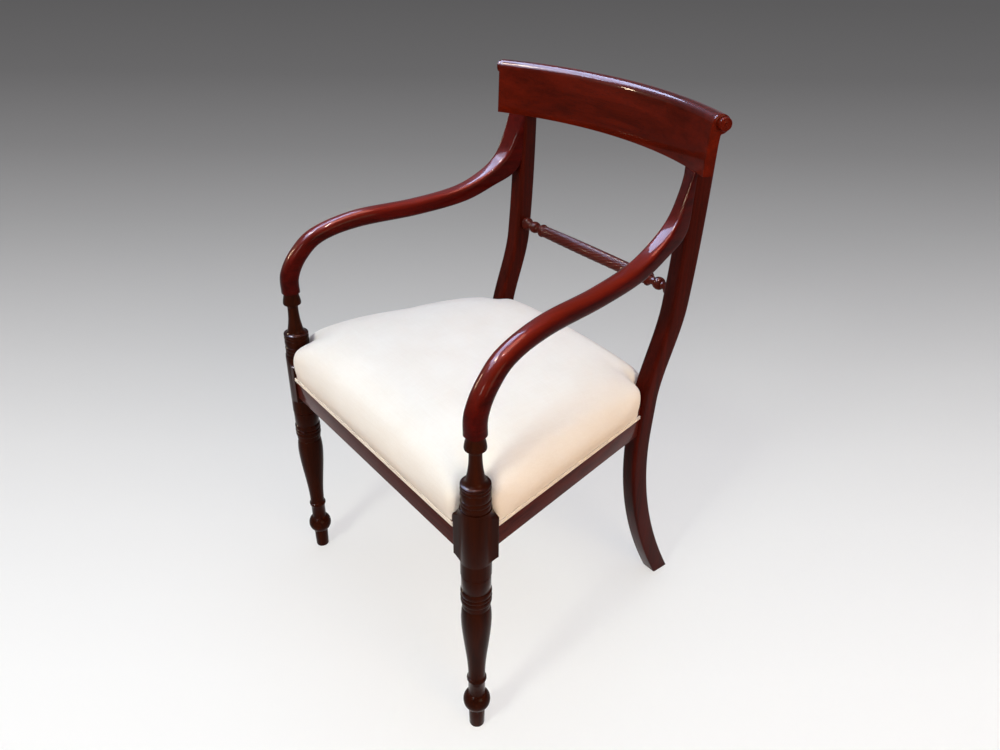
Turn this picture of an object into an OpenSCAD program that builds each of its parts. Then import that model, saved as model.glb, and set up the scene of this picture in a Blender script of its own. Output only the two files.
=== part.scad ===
// Desk armchair: turned front legs, sabre back legs, scrolled arms, a curved
// crest rail with a rolled top, a rope-twist back rail and a stuffed-over seat.
// Millimetres, +Z up, +X the sitter's left, +Y the back of the chair.
// The origin is on the floor under the middle of the chair.

/* [Plan] */
// Distance between the axes of the two front legs
leg_span = 510; // [480:5:550]
// Distance between the middles of the two back feet
foot_span = 361; // [340:1:385]
// Distance from the front leg axes to the middle of the back uprights at the seat
seat_run = 381; // [360:1:410]

/* [Seat frame] */
// Underside of the seat rails above the floor
rail_z = 354; // [335:1:375]
// Height of the seat rails
rail_h = 54; // [48:1:62]
// Thickness of the seat rails
rail_t = 24; // [20:1:27]
// How far the front rail's face stands forward of the leg axes
front_rail_set = 19.3; // [17:0.1:21]
// How far the side rail's face stands outside the leg axis
side_rail_set = 12; // [8:0.5:16]
// How far the side rail's face sits inside the upright's outer face
side_rail_inset = 2.5; // [1:0.5:5]
// Thickness of the rail tenons
tenon_t = 9; // [7:0.5:11]
// Length of the rail tenons
tenon_l = 17; // [12:1:18]
// Height of the corner blocks
corner_block_h = 30; // [24:1:36]
// Reach of a corner block along each rail
corner_block_reach = 38; // [32:1:46]

/* [Front legs] */
// Side of the square rail block of a front leg
block_w = 44; // [43.6:0.2:48]
// Rise of the rail block above the seat rails
block_rise = 19; // [14:1:24]
// Drop of the rail block below the seat rails
block_drop = 16; // [12:1:20]
// Diameter of the plain turned part under the block
leg_d = 43.4; // [39:0.2:43.6]
// Greatest diameter of the baluster
baluster_d = 44; // [39:0.2:45]
// Distance from the block down to the baluster's widest place
baluster_drop = 111; // [100:1:120]
// Smallest diameter of the leg's taper
ankle_d = 25.4; // [21:0.2:27.4]
// Height of the small ring above the floor
ankle_ring_z = 102.5; // [95:0.5:112]
// Diameter of the small ring
ankle_ring_d = 29.6; // [28:0.2:33]
// Diameter of the ball
ball_d = 41.2; // [34:0.2:44]
// Height of the ball's middle above the floor
ball_z = 54.5; // [46:0.5:60]
// Diameter of the foot on the floor
foot_d = 23.5; // [19:0.5:25]
// Diameter of the foot under the ball
foot_top_d = 25; // [23:0.5:27]

/* [Arm supports] */
// Underside of the arm above the floor, where it sits on the front leg
arm_base_z = 541; // [520:1:560]
// Diameter of the vase's rim
vase_d = 41.2; // [36:0.2:42]
// Diameter of the vase's neck
neck_d = 17.6; // [15:0.2:20]
// Diameter of the collar under the arm
collar_d = 29.6; // [26:0.2:31]
// Diameter of the tenon that enters the arm
arm_tenon_d = 13; // [10:0.5:15]
// Length of the tenon that enters the arm
arm_tenon_l = 26; // [18:1:30]

/* [Arms] */
// Height of the arm's middle where it runs level
arm_z = 649; // [635:1:665]
// Thickness of the arm where it runs level
arm_d = 27.6; // [25:0.2:30]
// Width of the arm at its front end
arm_front_w = 29.8; // [28:0.2:32]
// Turn of the arm's face where it meets the crest rail, in degrees
arm_turn = 26; // [16:1:30]
// Thickness of the arm's thin end under the crest rail
arm_tip = 3; // [3:0.5:8]

/* [Back uprights] */
// Underside of the crest rail above the floor
crest_z = 780; // [765:1:800]
// Width of an upright
upright_w = 28.4; // [26:0.2:30]
// Depth of an upright
upright_d = 34; // [31:0.5:37]
// How far the back foot kicks out behind the seat
heel_kick = 96; // [80:1:105]
// How far the upright has swept back by the middle of the back
back_sweep = 45; // [38:1:52]
// How far the upright has swept back at the crest rail
back_lean = 57; // [53:1:66]
// Outward splay of the uprights, millimetres for each millimetre of height
splay = 0.017; // [0.01:0.001:0.022]
// Turn of the uprights at the crest rail, in degrees
upright_turn = 12; // [8:1:14]

/* [Crest rail] */
// Radius of the crest rail's front face in plan
crest_r = 530; // [500:5:580]
// Half the angle that the crest rail spans, in degrees
crest_half_angle = 25.4; // [24.5:0.1:26.5]
// Thickness of the crest rail's board
crest_t = 15; // [14:0.5:18]
// Height of the crest rail up to the middle of its roll
crest_h = 70.4; // [62:0.2:76]
// Radius of the rolled top
roll_r = 13.6; // [12.6:0.2:15]
// How far the crest rail leans back over its height
crest_rake = 3.4; // [0:0.2:6]
// Diameter of the turned button at each end of the roll
button_d = 18.8; // [14:0.2:20]
// How far a button stands out
button_l = 8; // [4:0.5:10]

/* [Rope-twist rail] */
// Height of the rope-twist rail's axis
rope_z = 588; // [570:1:610]
// How far the rail's axis sits behind the middle of the uprights
rope_set = 3; // [0:0.5:4]
// Diameter of the rope-twist barrel at its middle
rope_d = 22; // [19:0.5:24]
// Number of strands
rope_strands = 12; // [9:1:14]
// Length of one full turn of a strand
rope_pitch = 186; // [140:2:240]
// Depth of the grooves between the strands
rope_groove = 1.1; // [0.7:0.1:1.4]
// Diameter of the rail's end tenons
rope_tenon_d = 11; // [9:0.5:12]

/* [Seat] */
// Rise of the seat's crown above the seat rails
crown_rise = 80; // [70:1:92]
// Rise of the seat's fullest edge above the seat rails
edge_rise = 33; // [28:1:40]
// How far the fullest edge stands out past the cover's lower edge
edge_swell = 5.5; // [3:0.5:7]
// Height of the piping's lower edge above the underside of the rails
piping_rise = 35; // [32:0.5:37]
// Thickness of one cord of the double piping
piping_d = 3.4; // [2.8:0.1:3.8]
// Thickness of the seat cover
cover_t = 1.6; // [1.2:0.1:2]
// Width of a webbing strap
strap_w = 50; // [44:1:54]
// Number of straps from front to back
straps_along = 4; // [3:1:5]
// Number of straps from side to side
straps_across = 4; // [3:1:5]

/* [Fastenings] */
// Diameter of the wood screws
screw_d = 4.5; // [4:0.1:5]
// Diameter of the wood plugs over the screws
plug_d = 9.5; // [9:0.1:11]

/* [Hidden] */
$fn = 72;
fit = 0.15;              // clearance round tenons, spigots and screws
glue = 0.05;             // gap left at a shouldered joint
soft_gap = 0.3;          // clearance of the soft pieces from the wood
overrun = 20;            // how far a raw shape runs past the cut that trims it
mahogany = "#5a1e12";
mahogany_light = "#8a2f1a";
beech = "#b98a5a";
cream = "#f3e9da";
steel = "#8d8f92";

// Overall depth, from the seat's front bulge to the back of the heels
skirt_set = soft_gap + cover_t;
front_reach = max(front_rail_set + skirt_set + edge_swell, block_w / 2);
back_reach = seat_run + heel_kick + upright_d / 2;
leg_x = leg_span / 2;
leg_y = (front_reach - back_reach) / 2;
seat_y = leg_y + seat_run;
rail_top = rail_z + rail_h;
block_base = rail_z - block_drop;
block_top = rail_top + block_rise;
crown_z = rail_top + crown_rise;
edge_z = rail_top + edge_rise;

// Smooth steps and curves
function smooth(t) = let(c = min(1, max(0, t))) c * c * (3 - 2 * c);
function mix(a, b, t) = a + (b - a) * t;
function unit(v) = v / norm(v);
function distinct(p) = [for (i = [0:len(p) - 1]) if (i == 0 || norm(p[i] - p[max(i - 1, 0)]) > 0.02) p[i]];
function hermite(a, b, t) = let(h = b[0] - a[0])
  a[1] * (2 * t * t * t - 3 * t * t + 1) + a[2] * h * (t * t * t - 2 * t * t + t)
  + b[1] * (3 * t * t - 2 * t * t * t) + b[2] * h * (t * t * t - t * t);
function catmull(p, i, t) = let(a = p[max(i - 1, 0)], b = p[i], c = p[i + 1],
    d = p[min(i + 2, len(p) - 1)])
  0.5 * (2 * b + (c - a) * t + (2 * a - 5 * b + 4 * c - d) * t * t
  + (3 * b - a - 3 * c + d) * t * t * t);

// Closed solid through a list of rings with the same number of points; each end
// is closed by triangles round its middle
module loft(rings) {
  n = len(rings[0]);
  last = (len(rings) - 1) * n;
  ends = [for (ring = [rings[0], rings[len(rings) - 1]])
    [for (j = [0:2]) [for (p = ring) p[j]] * [for (p = ring) 1 / n]]];
  points = concat([for (ring = rings) each ring], ends);
  sides = [for (k = [0:len(rings) - 2], i = [0:n - 1]) let(j = (i + 1) % n)
    each [[k * n + i, (k + 1) * n + i, k * n + j],
          [k * n + j, (k + 1) * n + i, (k + 1) * n + j]]];
  caps = [for (i = [0:n - 1]) let(j = (i + 1) % n)
    each [[last + n, i, j], [last + n + 1, last + j, last + i]]];
  polyhedron(points = points, faces = concat(sides, caps), convexity = 6);
}

// Back uprights

// The sabre line: height, distance behind the seat's back line, slope
rail_slope = 0.06;
sabre = [
  [0, heel_kick, -2 * heel_kick / rail_z],
  [rail_z, 0, rail_slope],
  [rail_top, rail_slope * rail_h, rail_slope],
  [mix(rail_top, crest_z, 0.435), back_sweep, 0.1],
  [crest_z, back_lean, 0.025]
];
function sabre_piece(z) = z < sabre[1][0] ? 0 : z < sabre[2][0] ? 1 : z < sabre[3][0] ? 2 : 3;
function sabre_y(z) = let(k = sabre_piece(z), a = sabre[k], b = sabre[k + 1])
  seat_y + (z > crest_z ? back_lean + 0.025 * (z - crest_z)
    : hermite(a, b, (z - a[0]) / (b[0] - a[0])));
function upright_x(z) = foot_span / 2 + splay * z;
function turn_at(z) = upright_turn * smooth((z - rail_top) / (crest_z - rail_top));
function upright_front(z) = sabre_y(z) - upright_d / 2;

// Section of an upright, a rectangle with rounded corners, turned in plan
function upright_ring(z, r, front = 0) = let(
    w = upright_w / 2, d = upright_d / 2, turn = turn_at(z), f = -d + front,
    corners = [[w - r, d - r, 0], [-w + r, d - r, 90], [-w + r, f + r, 180], [w - r, f + r, 270]])
  [for (c = corners, a = [0:45:90]) let(
      x = c[0] + r * cos(c[2] + a), y = c[1] + r * sin(c[2] + a))
    [upright_x(z) + x * cos(turn) + y * sin(turn),
     sabre_y(z) - x * sin(turn) + y * cos(turn), z]];

crest_axis_y = seat_y + back_lean - upright_d / 2 - arm_tip
  - sqrt(crest_r * crest_r - upright_x(crest_z) * upright_x(crest_z));
tongue_top = crest_z + crest_h - roll_r - 2.5;
tongue_angle = asin(upright_x(crest_z) / (crest_r + crest_t));

module upright_body() {
  low = [for (k = [0:22]) k * rail_z / 23];
  seat = [rail_z, rail_top];
  high = [for (k = [1:20]) mix(rail_top, crest_z, k / 20)];
  heights = concat(low, seat, high);
  loft([for (z = heights) upright_ring(z, mix(2.5, 6, smooth(z / rail_z)))]);
}

// The part of the upright that stands behind the crest rail
module upright_tongue() {
  loft([for (z = [crest_z - 1, crest_z + 20, tongue_top]) upright_ring(z, 3, arm_tip)]);
}

// Space that the crest rail fills, seen from the upright
module crest_space() {
  translate([0, crest_axis_y, 0])
    rotate([0, 0, 90 - tongue_angle])
      translate([crest_r - 3 * overrun, -3 * overrun, crest_z])
        rotate([0, atan(crest_rake / crest_h), 0])
          cube([crest_t + 3 * overrun + glue, 6 * overrun, crest_h + 2 * overrun]);
}

arm_screw_z = mix(arm_z, crest_z, 0.62);
crest_screw_z = [for (k = [0.2, 0.57]) crest_z + k * crest_h];
function back_at(z) = sabre_y(z) + upright_d / 2;

// Screws from the back: the hole starts outside the wood, the plug fills it down to the head.
// A crest screw stops short of the crest's face, an arm screw bites into the arm
bore_start = 5;
plug_depth = 9;
plug_end = bore_start + plug_depth;
head_d = 8.6;
arm_bite = 7.5;
screw_cover = 8;
arm_screw_l = upright_d - plug_depth + arm_bite;
crest_screw_l = upright_d + arm_tip - plug_depth - screw_cover;
module back_screw_hole(z, deep) {
  translate([upright_x(z), back_at(z) + bore_start, z])
    rotate([0, 0, -turn_at(z)]) rotate([90, 0, 0]) {
      cylinder(d = screw_d + 2 * fit, h = deep + bore_start + fit);
      cylinder(d = plug_d + 2 * glue, h = plug_end + 1.1);
      translate([0, 0, plug_end + 1.1])
        cylinder(d1 = head_d + 2 * fit, d2 = screw_d + 2 * fit, h = 2);
    }
}

module back_upright_left() {
  color(mahogany) difference() {
    union() {
      upright_body();
      upright_tongue();
    }
    crest_space();
    side_tenon_back(fit);
    back_rail_tenon(fit);
    translate([0, rope_y, rope_z]) rotate([0, 90, 0]) {
      cylinder(d = rope_tenon_d + 2 * fit, h = rope_end + rope_tenon_l + fit);
      cylinder(d = flange_d - 3.2 + 2 * fit, h = rope_end + glue);
    }
    back_screw_hole(arm_screw_z, plug_depth + arm_screw_l);
    for (z = crest_screw_z) back_screw_hole(z, plug_depth + crest_screw_l);
  }
}
module back_upright_right() { mirror([1, 0, 0]) back_upright_left(); }

// Front legs

// Points of a turned profile from one [height, radius] to the next
function straight(z0, r0, z1, r1) = [[r0, z0], [r1, z1]];
function bead(z0, z1, r, swell) = [for (a = [0:20:180])
  [r + swell * sin(a), mix(z0, z1, (1 - cos(a)) / 2)]];
function ogee(z0, r0, z1, r1) = [for (k = [0:8]) [mix(r0, r1, smooth(k / 8)), mix(z0, z1, k / 8)]];
function bowl(z0, r0, z1, r1) = [for (a = [0:15:90])
  [mix(r0, r1, sin(a)), mix(z0, z1, 1 - cos(a))]];
function dome(z0, r0, z1, r1) = [for (a = [0:15:90])
  [mix(r0, r1, 1 - cos(a)), mix(z0, z1, sin(a))]];

leg_r = leg_d / 2;
rings_z = block_base - 52;
ring_r = leg_r - 0.4;
baluster_z = block_base - baluster_drop;
ball_join = sqrt(ball_d * ball_d - foot_top_d * foot_top_d) / 2;
ball_top = sqrt(ball_d * ball_d - ankle_d * ankle_d) / 2;

foot_profile = concat(
  [[0, 0], [foot_d / 2 - 3, 0], [foot_d / 2 - 0.9, 0.9], [foot_d / 2, 3]],
  [[foot_top_d / 2, ball_z - ball_join]],
  [for (k = [1:15]) let(a = mix(-atan2(ball_join, foot_top_d / 2), atan2(ball_top, ankle_d / 2), k / 16))
    [ball_d / 2 * cos(a), ball_z + ball_d / 2 * sin(a)]],
  straight(ball_z + ball_top, ankle_d / 2, ankle_ring_z - 4.5, ankle_d / 2),
  bead(ankle_ring_z - 3.5, ankle_ring_z + 3.5, ankle_d / 2 + 0.6, ankle_ring_d / 2 - ankle_d / 2 - 0.6)
);
shank_profile = concat(
  [[ankle_d / 2, ankle_ring_z + 5], [ankle_d / 2, ankle_ring_z + 14]],
  [for (k = [1:12]) let(t = k / 12)
    [mix(ankle_d / 2, baluster_d / 2, mix(t, smooth(t), 0.7)),
     mix(ankle_ring_z + 14, baluster_z, t)]],
  dome(baluster_z, baluster_d / 2, rings_z - 34, 19)
);
rings_profile = concat(
  [[20, rings_z - 33], [21, rings_z - 25]],
  bead(rings_z - 24, rings_z - 16, ring_r - 0.5, 1.2),
  bead(rings_z - 15.4, rings_z - 9.6, ring_r - 0.6, 1.5),
  bead(rings_z - 9, rings_z, ring_r - 0.4, 1.2),
  [[ring_r - 0.8, rings_z + 0.4], [ring_r - 0.3, rings_z + 1.2]],
  [[ring_r - 0.3, block_base - 26], [ring_r - 1, block_base - 25.2], [leg_r, block_base - 24]]
);
stack_z = block_top;
stack_r = vase_d / 2;
stack_profile = concat(
  [[leg_r, block_top - 0.2], [stack_r - 0.8, block_top + 0.2]],
  bead(stack_z + 0.4, stack_z + 9, stack_r - 0.8, 0.9),
  bead(stack_z + 9.4, stack_z + 16.4, stack_r - 1, 1.2),
  bead(stack_z + 17, stack_z + 29.2, stack_r - 1, 1),
  bead(stack_z + 29.8, stack_z + 35.4, stack_r - 1.1, 1.1)
);
vase_z = stack_z + 36;
collar_z = arm_base_z - 20;
vase_profile = concat(
  [[stack_r - 0.6, vase_z], [stack_r, vase_z + 1.6], [stack_r - 0.3, vase_z + 3.2]],
  bowl(vase_z + 3.2, stack_r - 0.6, vase_z + 12, 12.6),
  [for (k = [1:6]) let(t = k / 6)
    [mix(12.4, neck_d / 2, 1 - (1 - t) * (1 - t)), mix(vase_z + 13, collar_z - 11, t)]],
  [[neck_d / 2, collar_z - 6.5]],
  dome(collar_z - 6, neck_d / 2 + 0.4, collar_z - 0.6, collar_d / 2 - 0.3),
  [[collar_d / 2, collar_z + 0.6], [collar_d / 2, collar_z + 2.4]],
  [for (k = [1:6]) [mix(collar_d / 2 - 0.2, 12.3, smooth(k / 6)), mix(collar_z + 3, collar_z + 17, k / 6)]],
  [[12.3, arm_base_z], [arm_tenon_d / 2, arm_base_z]],
  [[arm_tenon_d / 2, arm_base_z + arm_tenon_l - 1], [arm_tenon_d / 2 - 1, arm_base_z + arm_tenon_l]],
  [[0, arm_base_z + arm_tenon_l]]
);

// The square block with its turned shoulders; the outer corner follows the round of the leg
module leg_block() {
  half = block_w / 2;
  corner = half * sqrt(2);
  intersection() {
    translate([0, 0, block_base]) linear_extrude(block_top - block_base) union() {
      circle(r = half);
      translate([-half, -half]) square([half, block_w]);
      translate([-half, 0]) square([block_w, half]);
    }
    rotate_extrude() polygon(distinct(concat(
      [[0, block_base]],
      dome(block_base, leg_r, block_base + 7, corner + 0.5),
      [for (a = [90:-15:0]) [mix(leg_r, corner + 0.5, 1 - cos(a)), block_top - 14 * sin(a)]],
      [[0, block_top]]
    )));
  }
}

module leg_turning() {
  rotate_extrude() polygon(distinct(concat(
    foot_profile, shank_profile, rings_profile, stack_profile, vase_profile
  )));
}

module front_leg_left() {
  color(mahogany) difference() {
    translate([leg_x, leg_y, 0]) union() {
      leg_turning();
      leg_block();
    }
    front_rail_tenon(fit);
    side_tenon_front(fit);
  }
}
module front_leg_right() { mirror([1, 0, 0]) front_leg_left(); }

// Seat rails

// Outer face of the side rail: x at a given distance behind the leg axis
side_front_y = block_w / 2;
side_back_y = upright_front(rail_z) - leg_y;
side_x0 = leg_x + side_rail_set;
side_x1 = upright_x(rail_z) + upright_w / 2 - side_rail_inset;
side_slope = (side_x0 - side_x1) / (side_back_y - side_front_y);
side_angle = atan(side_slope);
side_thick = rail_t / cos(side_angle);
function side_x(y) = side_x0 - side_slope * (y - side_front_y);
tenon_h = rail_h - 14;
tenon_z = rail_z + 7;
front_face = leg_y - front_rail_set;
back_rail_y = seat_y - rail_t / 2;
block_inner = leg_x - block_w / 2;
function upright_inner(z) = upright_x(z) - upright_w / 2;

module front_rail_tenon(grow = 0) {
  translate([block_inner - 10, front_face + rail_t / 2 - tenon_t / 2 - grow, tenon_z - grow])
    cube([10 + tenon_l + grow, tenon_t + 2 * grow, tenon_h + 2 * grow]);
}
module side_tenon(y0, y1, grow) {
  mid = side_thick / 2;
  half = tenon_t / 2 + grow;
  translate([0, leg_y, tenon_z - grow]) linear_extrude(tenon_h + 2 * grow) polygon([
    [side_x(y0) - mid - half, y0], [side_x(y0) - mid + half, y0],
    [side_x(y1) - mid + half, y1], [side_x(y1) - mid - half, y1]
  ]);
}
module side_tenon_front(grow = 0) {
  side_tenon(side_front_y - tenon_l - grow, side_front_y + 10, grow);
}
module side_tenon_back(grow = 0) {
  side_tenon(side_back_y - 10, side_back_y + tenon_l + 4 + grow, grow);
}
module back_rail_tenon(grow = 0) {
  translate([upright_inner(rail_z) - 10, seat_y - tenon_t / 2 - grow, tenon_z - grow])
    cube([10 + tenon_l - 2 + grow, tenon_t + 2 * grow, tenon_h + 2 * grow]);
}

// Screws from the corner blocks into the rails
rim = 0.8;
sink = 3;
block_head_d = 8;
block_screw_l = rail_t + 8;
module block_screw() {
  cylinder(d = block_head_d, h = rim);
  translate([0, 0, rim]) cylinder(d1 = block_head_d, d2 = screw_d, h = sink);
  translate([0, 0, rim + sink - 0.1]) cylinder(d = screw_d, h = block_screw_l - 8);
  translate([0, 0, block_screw_l - 4.4]) cylinder(d1 = screw_d, d2 = 0.6, h = 4);
}
module block_screw_hole() {
  translate([0, 0, -corner_block_reach])
    cylinder(d = block_head_d + 2 * fit, h = corner_block_reach + rim + fit);
  translate([0, 0, rim + fit])
    cylinder(d1 = block_head_d + 2 * fit, d2 = screw_d + 2 * fit, h = sink);
  translate([0, 0, rim + sink - 0.2]) cylinder(d = screw_d + 2 * fit, h = block_screw_l - 3.6);
}

// The screws into the front and back rails sit low, those into the side rails high,
// so that their holes pass each other inside the block
block_z = rail_z + 6;
screw_low = block_z + 0.3 * corner_block_h;
screw_high = block_z + 0.7 * corner_block_h;
toe = 16;
screw_in = 16;
screw_seat = 14;
front_inner_y = front_face + rail_t;
function side_inner(y) = side_x(y) - side_thick;
front_corner_x = block_inner - corner_block_reach;
front_corner_y = block_w / 2 + corner_block_reach;
back_corner_y = side_back_y - corner_block_reach;
back_corner_x = upright_inner(rail_z) - corner_block_reach;

module side_block_screw(y) {
  translate([side_inner(y) - screw_seat, leg_y + y, screw_high])
    rotate([0, 0, side_angle]) rotate([0, 90, 0]) children();
}
module front_block_screws() {
  translate([front_corner_x + screw_in, front_inner_y + screw_seat, screw_low])
    rotate([90, 0, 0]) children();
  side_block_screw(front_corner_y - screw_in) children();
}
module back_block_screws() {
  translate([back_corner_x + screw_in, back_rail_y - screw_seat, screw_low])
    rotate([-90, 0, 0]) children();
  side_block_screw(back_corner_y + screw_in) children();
}

module corner_block_front_left() {
  color(beech) difference() {
    translate([0, 0, block_z]) linear_extrude(corner_block_h) polygon([
      [front_corner_x, front_inner_y + glue], [block_inner - glue, front_inner_y + glue],
      [block_inner - glue, leg_y + block_w / 2 + glue],
      [side_inner(side_front_y) - glue, leg_y + block_w / 2 + glue],
      [side_inner(front_corner_y) - glue, leg_y + front_corner_y],
      [side_inner(front_corner_y) - toe, leg_y + front_corner_y],
      [front_corner_x, front_inner_y + toe]
    ]);
    front_block_screws() block_screw_hole();
  }
}
module corner_block_front_right() { mirror([1, 0, 0]) corner_block_front_left(); }

module corner_block_back_left() {
  color(beech) difference() {
    translate([0, 0, block_z]) linear_extrude(corner_block_h) polygon([
      [back_corner_x, back_rail_y - glue], [back_corner_x, back_rail_y - toe],
      [side_inner(back_corner_y) - toe, leg_y + back_corner_y],
      [side_inner(back_corner_y) - glue, leg_y + back_corner_y],
      [side_inner(side_back_y) - glue, leg_y + side_back_y - glue],
      [upright_inner(rail_z) - glue, leg_y + side_back_y - glue],
      [upright_inner(rail_z) - glue, back_rail_y - glue]
    ]);
    back_block_screws() block_screw_hole();
  }
}
module corner_block_back_right() { mirror([1, 0, 0]) corner_block_back_left(); }

module both_sides() {
  children();
  mirror([1, 0, 0]) children();
}
module corner_block_screws() {
  color(steel) both_sides() {
    front_block_screws() block_screw();
    back_block_screws() block_screw();
  }
}

module seat_rail_front() {
  color(mahogany) difference() {
    union() {
      translate([-block_inner + glue, front_face, rail_z])
        cube([2 * (block_inner - glue), rail_t, rail_h]);
      both_sides() front_rail_tenon();
    }
    both_sides() front_block_screws() block_screw_hole();
    strap_tacks() tack(fit);
  }
}

module seat_rail_back() {
  color(mahogany) difference() {
    union() {
      translate([0, back_rail_y + rail_t, 0]) rotate([90, 0, 0]) linear_extrude(rail_t) polygon([
        [-upright_inner(rail_z) + glue, rail_z], [upright_inner(rail_z) - glue, rail_z],
        [upright_inner(rail_top) - glue, rail_top], [-upright_inner(rail_top) + glue, rail_top]
      ]);
      both_sides() back_rail_tenon();
    }
    both_sides() back_block_screws() block_screw_hole();
    strap_tacks() tack(fit);
  }
}

module seat_rail_left() {
  color(mahogany) difference() {
    union() {
      difference() {
        translate([0, leg_y, rail_z]) linear_extrude(rail_h) polygon([
          [side_inner(side_front_y + glue), side_front_y + glue],
          [side_x(side_front_y + glue), side_front_y + glue],
          [side_x(side_back_y + overrun), side_back_y + overrun],
          [side_inner(side_back_y + overrun), side_back_y + overrun]
        ]);
        translate([0, upright_front(rail_z) - glue, rail_z]) rotate([-atan(rail_slope), 0, 0])
          translate([0, 0, -overrun]) cube([side_x0 + overrun, 3 * overrun, rail_h + 2 * overrun]);
      }
      side_tenon_front();
      side_tenon_back();
    }
    front_block_screws() block_screw_hole();
    back_block_screws() block_screw_hole();
    strap_tacks() tack(fit);
  }
}
module seat_rail_right() { mirror([1, 0, 0]) seat_rail_left(); }

// Arms

// Plan line of an arm, from the leg axis to the front of the upright
arm_end_z = mix(arm_z, crest_z, 0.7);
arm_from = [leg_x, leg_y];
arm_to = [upright_x(arm_end_z), upright_front(crest_z)];
arm_run = norm(arm_to - arm_from);
arm_dir = (arm_to - arm_from) / arm_run;
half_arm = arm_d / 2;
half_front = arm_front_w / 2;
function upright_s(z) = (upright_front(z) - glue - leg_y) / arm_dir[1];

// Upper and lower curves of the arm: distance along the plan line, height. The scroll takes
// its shape from the drop to the leg, the sweep at the back from the rise to the crest rail
arm_drop = arm_z - arm_base_z;
arm_rise = crest_z - arm_z;
function back_of(part) = (1 - part) * arm_run;
function climb(part) = arm_z + part * arm_rise;
function fall(part) = arm_z - part * arm_drop;
arm_top_line = [
  [-half_front, arm_base_z], [-0.839 * half_front, fall(0.69)], [0.611 * half_front, fall(0.352)],
  [0.111 * arm_run, fall(0.0713)], [0.2867 * arm_run, arm_z + 0.768 * half_arm],
  [0.53 * arm_run, arm_z + half_arm], [0.716 * arm_run, climb(0.1672)],
  [back_of(0.1633), climb(0.3053)], [back_of(0.083), climb(0.4908)],
  [back_of(0.0364), climb(0.758)], [arm_run - arm_tip, crest_z - glue]
];
arm_low_line = [
  [half_front, arm_base_z], [1.08 * half_front, fall(0.773)], [0.0736 * arm_run, fall(0.509)],
  [0.1466 * arm_run, fall(0.276)], [0.2914 * arm_run, arm_z - 1.232 * half_arm],
  [0.535 * arm_run, arm_z - half_arm], [0.743 * arm_run, arm_z - 0.254 * half_arm],
  [back_of(0.1175), climb(0.1374)], [back_of(0.0376), climb(0.2595)],
  [upright_s(climb(0.458)), climb(0.458)], [upright_s(crest_z), crest_z - glue]
];
arm_steps = 4;
arm_rings = (len(arm_top_line) - 1) * arm_steps;
function arm_curve(line, k) = k == arm_rings ? line[len(line) - 1]
  : catmull(line, floor(k / arm_steps), (k % arm_steps) / arm_steps);

// Section of an arm between its upper and lower points; the corners get crisper to the back
function squircle(a, n) = [sign(cos(a)) * pow(abs(cos(a)), 2 / n), sign(sin(a)) * pow(abs(sin(a)), 2 / n)];
function arm_ring(k) = let(
    t = k / arm_rings, top = arm_curve(arm_top_line, k), low0 = arm_curve(arm_low_line, k),
    low = [min(low0[0], upright_s(low0[1])), low0[1]],
    crisp = mix(2.3, 7, smooth((t - 0.45) / 0.5)),
    w = mix(mix(arm_front_w, arm_d + 1, smooth(t * 4)), upright_w + 2.4, smooth((t - 0.6) / 0.35)) / 2,
    top_turn = arm_turn * smooth((t - 0.55) / 0.4),
    low_turn = turn_at(low[1]) * smooth((t - 0.55) / 0.35))
  [for (i = [0:15]) let(
      q = squircle(-i * 22.5, crisp), up = (q[1] + 1) / 2, turn = mix(low_turn, top_turn, up),
      s = mix(low[0], top[0], up), z = mix(low[1], top[1], up))
    [leg_x + arm_dir[0] * s + q[0] * w * cos(turn),
     leg_y + arm_dir[1] * s - q[0] * w * sin(turn) - q[0] * w * arm_dir[0] * (1 - smooth((t - 0.55) / 0.4)),
     z]];

module arm_left() {
  color(mahogany_light) difference() {
    loft([for (k = [0:arm_rings]) arm_ring(k)]);
    translate([leg_x, leg_y, arm_base_z - 1])
      cylinder(d = arm_tenon_d + 2 * fit, h = arm_tenon_l + 1 + 2 * fit);
    back_screw_hole(arm_screw_z, plug_depth + arm_screw_l);
  }
}
module arm_right() { mirror([1, 0, 0]) arm_left(); }

// Crest rail

module crest_section() {
  polygon([
    [crest_r, crest_z], [crest_r + crest_t, crest_z],
    [crest_r + crest_t + crest_rake, crest_z + crest_h],
    [crest_r + crest_rake, crest_z + crest_h]
  ]);
  translate([crest_r + crest_rake + roll_r, crest_z + crest_h]) circle(r = roll_r);
}
roll_place = crest_r + crest_rake + roll_r;
button_spigot = 14;
button_set = 2.6;
button_rise = 1.4;

// Puts its children on the end face of the crest rail, a little behind and above the middle of the roll
module at_crest_end() {
  translate([0, crest_axis_y, crest_z + crest_h + button_rise]) rotate([0, 0, 90 - crest_half_angle])
    translate([roll_place + button_set, 0, 0]) rotate([90, 0, 0]) children();
}

module crest_rail() {
  color(mahogany_light) difference() {
    translate([0, crest_axis_y, 0]) rotate([0, 0, 90 - crest_half_angle])
      rotate_extrude(angle = 2 * crest_half_angle, $fn = 180) crest_section();
    both_sides() at_crest_end()
      translate([0, 0, -button_spigot - fit]) cylinder(d = 7 + 2 * fit, h = button_spigot + 2);
    both_sides() for (z = crest_screw_z) back_screw_hole(z, plug_depth + crest_screw_l);
  }
}

module crest_button_left() {
  r = button_d / 2;
  color(mahogany_light) at_crest_end() rotate_extrude() polygon(distinct(concat(
    [[0, -button_spigot], [3.5, -button_spigot], [3.5, glue], [r - 0.6, glue], [r, 0.7]],
    [[r, button_l - 2]],
    [for (a = [0:15:90]) [r - 1.8 * (1 - cos(a)), button_l - 2 + 1.9 * sin(a)]],
    [[r - 2.6, button_l - 0.6], [2.6, button_l], [1.6, button_l - 1.2], [0, button_l - 1.5]]
  )));
}
module crest_button_right() { mirror([1, 0, 0]) crest_button_left(); }

// Rope-twist rail

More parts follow.
